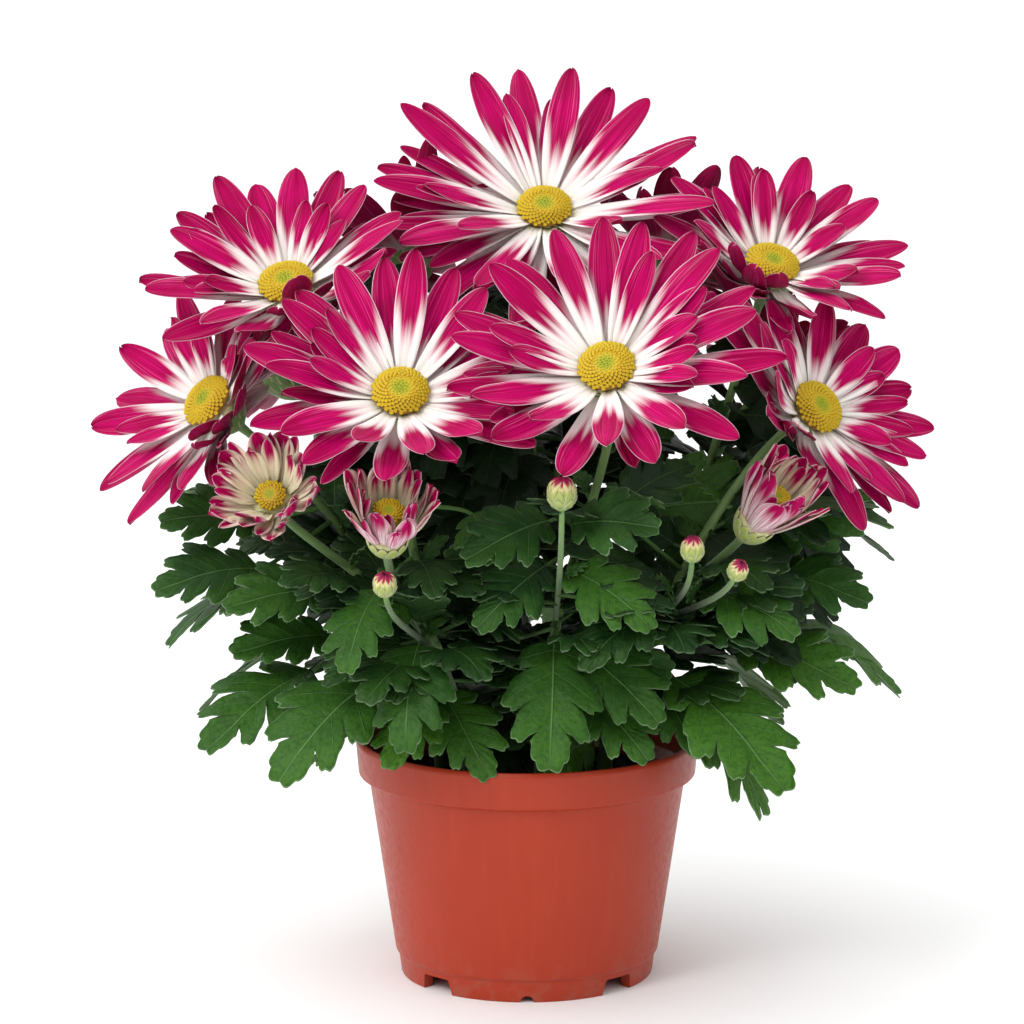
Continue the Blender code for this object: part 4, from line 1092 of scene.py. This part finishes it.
pale = blend_colour(tree, ease(tree, along, 0.02, 0.16), PALE_ROOT, PETAL_WHITE)
young = ease(tree, tone, 0.0, -0.05)
outside = ease(tree, under, 0.0, 0.1)
pale = blend_colour(tree, times(tree, young, rest(tree, outside)), pale, YOUNG_CREAM)
stripes = times(tree, times(tree, young, outside), ease(tree, fine_streaks, 0.42, 0.58))
pale = blend_colour(tree, times(tree, stripes, 0.8), pale, STRIPE_PINK)
pale = blend_colour(tree, wash, pale, WASH_PINK)
colour = blend_colour(tree, flush, pale, rich)
white_edge = times(tree, ease(tree, edge, 0.92, 1.0), ease(tree, along, 0.2, 0.5))
colour = blend_colour(tree, times(tree, white_edge, 0.8), colour, EDGE_PINK)
back = blend_colour(tree, ease(tree, along, 0.05, 0.45), BACK_ROOT, BACK_TIP)
back = blend_colour(tree, times(tree, ease(tree, fine_streaks, 0.5, 0.7), 0.4), back, BACK_STREAK)
colour = blend_colour(tree, under, colour, back)
tree.links.new(colour, shader.inputs["Base Color"])
shader.inputs["Specular IOR Level"].default_value = 0.05
raise_grain(tree, shader, calc(tree, "ADD", fine_streaks, times(tree, grooves, 0.25)), 0.0003)


def add_seat(shape, place, low_radius, high_radius, depth, height):
    """A closed cone on a head's axis, its middle at a height, that carries what stands on it."""
    bmesh.ops.create_cone(shape, cap_ends=True, segments=32, radius1=low_radius, radius2=high_radius,
                          depth=depth, matrix=place @ Matrix.Translation((0, 0, height)))


EXTRA_PETALS = 20
for name, head in OPEN_HEADS.items():
    shape = shape_with(*PETAL_DATA)
    head_at = head_place(head)
    draw = random.Random("inner " + name)
    fitted = fitted_petals(head, name, False)
    for petal in fitted:
        add_petal(shape, petal, head_at, draw)
    for index in range(EXTRA_PETALS):
        above = index % 2
        like = draw.choice([petal for petal in fitted if not above or petal.curl < 12])
        extra = like._replace(
            turn=like.turn + draw.choice((-1, 1)) * 180 / head.rays * draw.uniform(0.7, 1.1),
            length=like.length * (draw.uniform(0.6, 0.82) if above else draw.uniform(0.78, 0.95)),
            width=like.width * draw.uniform(0.7, 0.85),
            lift=like.lift + (draw.uniform(4, 12) if above else draw.uniform(-13, -5)),
            drop=-0.8 if above else -3.8, twist=draw.uniform(-14, 14))
        add_petal(shape, extra, head_at, draw)
    add_seat(shape, head_at, 7.0, 8.4, 4.6, -2.9)
    petals_piece = piece_from("petals_" + name, shape, petal_finish)
    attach(petals_piece, "root")
    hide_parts("rays_" + name)

# The discs. The yellow eye of each bloom is a shallow dome packed with tiny tube-shaped florets in
# spirals: open ones round the outside, still closed and green in the slightly sunken middle.
DISC_RADIUS = 9.0
DISC_OUTLINE = ((0, 0.35), (7.0, 0.35), (8.9, 1.6), (8.8, 2.8), (7.2, 4.3), (3.8, 5.0), (0, 4.3))
DISC_DATA = ("heart", "tint")
FLORETS = 210
OPEN_FROM = 0.52  # the share of the radius from which the florets are open
shape = bmesh.new()
bmesh.ops.create_cone(shape, cap_ends=True, segments=6, radius1=0.42, radius2=0.62, depth=1.5)
mouth = [face for face in shape.faces if face.normal.z > 0.9]
bmesh.ops.inset_region(shape, faces=mouth, thickness=0.26, depth=-0.35)
open_floret = mesh_from("open_floret", shape)
shape = bmesh.new()
bmesh.ops.create_icosphere(shape, subdivisions=1, radius=0.52)
bmesh.ops.scale(shape, vec=(0.95, 0.95, 1.6), verts=shape.verts)
closed_floret = mesh_from("closed_floret", shape)

GREEN_HEART, FLORET_YELLOW = (0.34, 0.38, 0.012), (0.60, 0.40, 0.006)
FLORET_MOUTH, FLORET_GAP_SHADE = (0.80, 0.60, 0.02), (0.26, 0.13, 0.004)
disc_finish, tree, shader = new_finish("yellow_florets", 0.65)
heart, tint = (stored(tree, name) for name in DISC_DATA)
colour = blend_colour(tree, ease(tree, heart, 0.15, 0.55), GREEN_HEART, FLORET_YELLOW)
colour = blend_colour(tree, times(tree, tint, times(tree, heart, 0.7)), colour, FLORET_MOUTH)
# Painted shade: the dome between the outer florets, which carries a tint of -1, is darkened to brown.
painted_gap_shade = times(tree, ease(tree, tint, 0.0, -1.0), ease(tree, heart, 0.35, 0.8))
colour = blend_colour(tree, painted_gap_shade, colour, FLORET_GAP_SHADE)
tree.links.new(colour, shader.inputs["Base Color"])


def disc_height(far, size):
    """The height of a disc's dome so far from its middle, as a share of its radius."""
    dome = 0.35 + 4.5 * math.sqrt(max(1 - (far / 1.06) ** 4, 0)) + 0.2
    return (dome - 0.9 * max(0.45 - far, 0)) * size


def add_disc(shape, head_at, size, draw, florets):
    """A dome with its florets in a spiral, each a golden share of a turn on from the last."""
    hearts, tints = (shape.verts.layers.float[name] for name in DISC_DATA)
    dome = mesh_from("dome", spin_solid([(radius * size, height * size, 0)
                                         for radius, height in DISC_OUTLINE], 32))
    for vert in add_copy(shape, dome):
        vert[hearts] = vert.co.xy.length / size / DISC_RADIUS
        # A tint of -1 marks the dome for the painted shade between the florets.
        vert[tints] = -1.0
        vert.co = head_at @ vert.co
    for index in range(florets):
        far = math.sqrt((index + 0.6) / florets)
        angle = index * 2 * math.pi * GOLDEN_SHARE
        reach = DISC_RADIUS * size * far
        spot = Vector((reach * math.cos(angle), reach * math.sin(angle), disc_height(far, size)))
        out = Vector((math.cos(angle), math.sin(angle), 0))
        way = (Vector((0, 0, 1)) + out * (2.2 * far ** 3 - 0.25 * (far < 0.35))).normalized()
        grain = size ** 0.5 * (0.66 + 0.55 * far ** 2) * draw.uniform(0.9, 1.1)
        axes = way.to_track_quat("Z", "Y").to_matrix().to_4x4()
        floret_at = head_at @ Matrix.Translation(spot) @ axes @ Matrix.Scale(grain, 4)
        for vert in add_copy(shape, open_floret if far > OPEN_FROM else closed_floret):
            vert[hearts] = far
            vert[tints] = draw.random() * 0.4 + (0.6 if vert.co.z > 0 else 0)
            vert.co = floret_at @ vert.co


for name, head in OPEN_HEADS.items():
    shape = shape_with(*DISC_DATA)
    add_disc(shape, head_place(head), 1.0, random.Random("disc " + name), FLORETS)
    disc_piece = piece_from("florets_" + name, shape, disc_finish)
    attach(disc_piece, "root")
    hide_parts("disc_" + name)

# The half-open heads. Their petals still stand up in a cup round a small disc, cream inside and
# striped pink outside, with magenta tips that have only begun to spread.
HALF_DISC_SIZE = 0.55
HALF_FLORETS = 90
HALF_PETAL_WIDENING = 1.25
for name, head in HALF_HEADS.items():
    shape = shape_with(*PETAL_DATA)
    head_at = head_place(head)
    draw = random.Random("inner " + name)
    for petal in fitted_petals(head, name, True):
        add_petal(shape, petal._replace(width=petal.width * HALF_PETAL_WIDENING), head_at, draw, True)
        for shift in (-130, 130):
            between = petal._replace(
                turn=petal.turn + shift / head.rays, length=petal.length * draw.uniform(0.8, 0.96),
                width=petal.width * 0.8, lift=petal.lift + draw.uniform(0, 5), drop=petal.drop + 0.6,
                twist=draw.uniform(-12, 12))
            add_petal(shape, between, head_at, draw, True)
    add_seat(shape, head_at, 6.0, 6.8, 4.0, -2.4)
    petals_piece = piece_from("petals_" + name, shape, petal_finish)
    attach(petals_piece, "root")
    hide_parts("rays_" + name)
    shape = shape_with(*DISC_DATA)
    stand = 0.4 * max(head.lift - 44, 0) + 2  # the steeper the petals, the higher the disc stands
    raised = head_at @ Matrix.Translation((0, 0, stand))
    add_disc(shape, raised, HALF_DISC_SIZE, random.Random("disc " + name), HALF_FLORETS)
    add_seat(shape, head_at, 4.0, 4.6, stand + 0.6, stand / 2)
    disc_piece = piece_from("florets_" + name, shape, disc_finish)
    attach(disc_piece, "root")
    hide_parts("disc_" + name)

# The buds. Eleven petals are still folded over each other into a blunt knob, cream at the sides and
# magenta where their tips meet, in the cup that already stands on the stalk.
BUD_PETALS = 11
BUD_RADIUS = 4.35
BUD_PETAL_WIDTH = 3.1
BUD_GREEN, BUD_CREAM = (0.34, 0.40, 0.07), (0.66, 0.60, 0.30)
BUD_MAGENTA, BUD_DEEP = (0.34, 0.0, 0.06), (0.11, 0.0, 0.025)
bud_finish, tree, shader = new_finish("folded_bud_petals", 0.5)
along, side = (stored(tree, name) for name in ("along", "side"))
depth = calc(tree, "SUBTRACT", along, times(tree, calc(tree, "ABSOLUTE", side), 0.24))
colour = blend_colour(tree, ease(tree, depth, 0.10, 0.42), BUD_GREEN, BUD_CREAM)
colour = blend_colour(tree, ease(tree, depth, 0.38, 0.56), colour, BUD_MAGENTA)
colour = blend_colour(tree, ease(tree, depth, 0.62, 0.80), colour, BUD_DEEP)
tree.links.new(colour, shader.inputs["Base Color"])
shader.inputs["Specular IOR Level"].default_value = 0.3
for name, bud in BUDS.items():
    shape = shape_with(*PETAL_DATA)
    head_at = head_place(bud)
    draw = random.Random("bud " + name)
    data = [shape.verts.layers.float[key] for key in PETAL_DATA]
    for index in range(BUD_PETALS):
        base_turn = 2 * math.pi * index / BUD_PETALS
        tone, swirl, reach = draw.random(), draw.uniform(0.25, 0.5), draw.uniform(0.94, 1.05)
        for vert in add_copy(shape, petal_slab):
            t, side, under = vert.co.x, vert.co.y, -vert.co.z
            rise = math.radians(-14 + 96 * t * reach)
            half = BUD_PETAL_WIDTH / 2 * (1 - 0.45 * t ** 3) * (0.75 + 0.25 * math.sin(math.pi * t))
            bow = 0.28 * (1 - side * side) + 0.25 * (index % 2) - 0.35 * under
            ball = (BUD_RADIUS + bow) * bud.size
            around = base_turn + swirl * t * t + side * half / max(4.4 * math.cos(rise), 0.8)
            vert.co = head_at @ Vector((ball * math.cos(rise) * math.cos(around),
                                        ball * math.cos(rise) * math.sin(around),
                                        ball * math.sin(rise) * 1.1 + 0.8 * bud.size))
            for layer, value in zip(data, (0.12 + 0.8 * t, side, tone, 0.0)):
                vert[layer] = value
    bud_piece = piece_from("petals_" + name, shape, bud_finish)
    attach(bud_piece, "root")
    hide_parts(name)

# The stage: a pale floor, soft light from a panel at the upper left and a weaker, wider one at the
# right, and the camera where the photograph was taken, a little above the blooms.
FLOOR_HALF_WIDTH = 15000
PANELS = (  # name, place in metres, width and power
    ("key_panel", (-0.9, -1.2, 1.3), 0.5, 9),
    ("fill_panel", (1.0, -0.9, 0.7), 0.8, 1),
)
PANELS_AIM = Vector((0, 0, 0.17))
CAMERA_PLACE = (-5.25, -1508.6, 432.3)
CAMERA_DOWN = 10.1
FOCAL_PIXELS, PHOTO_PIXELS, SENSOR_WIDTH = 4412, 1024, 36
floor_finish, tree, shader = new_finish("pale_floor", 0.9)
shader.inputs["Base Color"].default_value = (0.9, 0.9, 0.9, 1)
shape = bmesh.new()
bmesh.ops.create_grid(shape, x_segments=1, y_segments=1, size=FLOOR_HALF_WIDTH)
floor = piece_from("floor", shape, floor_finish)

world = bpy.data.worlds.new("studio")
world.use_nodes = True
tree = world.node_tree
backdrop = tree.nodes["Background"]
sky_place = add_node(tree, "TexCoord", {}).outputs["Generated"]
way = add_node(tree, "SeparateXYZ", {"Vector": sky_place}).outputs
overhead = times(tree, ease(tree, way["Z"], 0.0, 0.85), 1.15)
bright = times(tree, calc(tree, "ADD", 0.50, overhead), rest(tree, times(tree, way["X"], 0.5)))
tree.links.new(bright, backdrop.inputs["Strength"])
backdrop.inputs["Color"].default_value = (1, 1, 1, 1)
bpy.context.scene.world = world
for name, spot, width, power in PANELS:
    light = bpy.data.lights.new(name, "AREA")
    light.size = width
    light.energy = power
    lamp = bpy.data.objects.new(name, light)
    lamp.location = spot
    lamp.rotation_euler = (PANELS_AIM - Vector(spot)).to_track_quat("-Z", "Y").to_euler()
    bpy.context.scene.collection.objects.link(lamp)

camera = bpy.data.objects.new("camera", bpy.data.cameras.new("camera"))
camera.data.lens = FOCAL_PIXELS / PHOTO_PIXELS * SENSOR_WIDTH
camera.data.sensor_width = SENSOR_WIDTH
camera.data.clip_end = 50
camera.location = IN_PLACE @ Vector(CAMERA_PLACE)
camera.rotation_euler = (math.radians(90 - CAMERA_DOWN), 0, 0)
bpy.context.scene.collection.objects.link(camera)
bpy.context.scene.camera = camera
bpy.context.scene.view_settings.view_transform = "Standard"
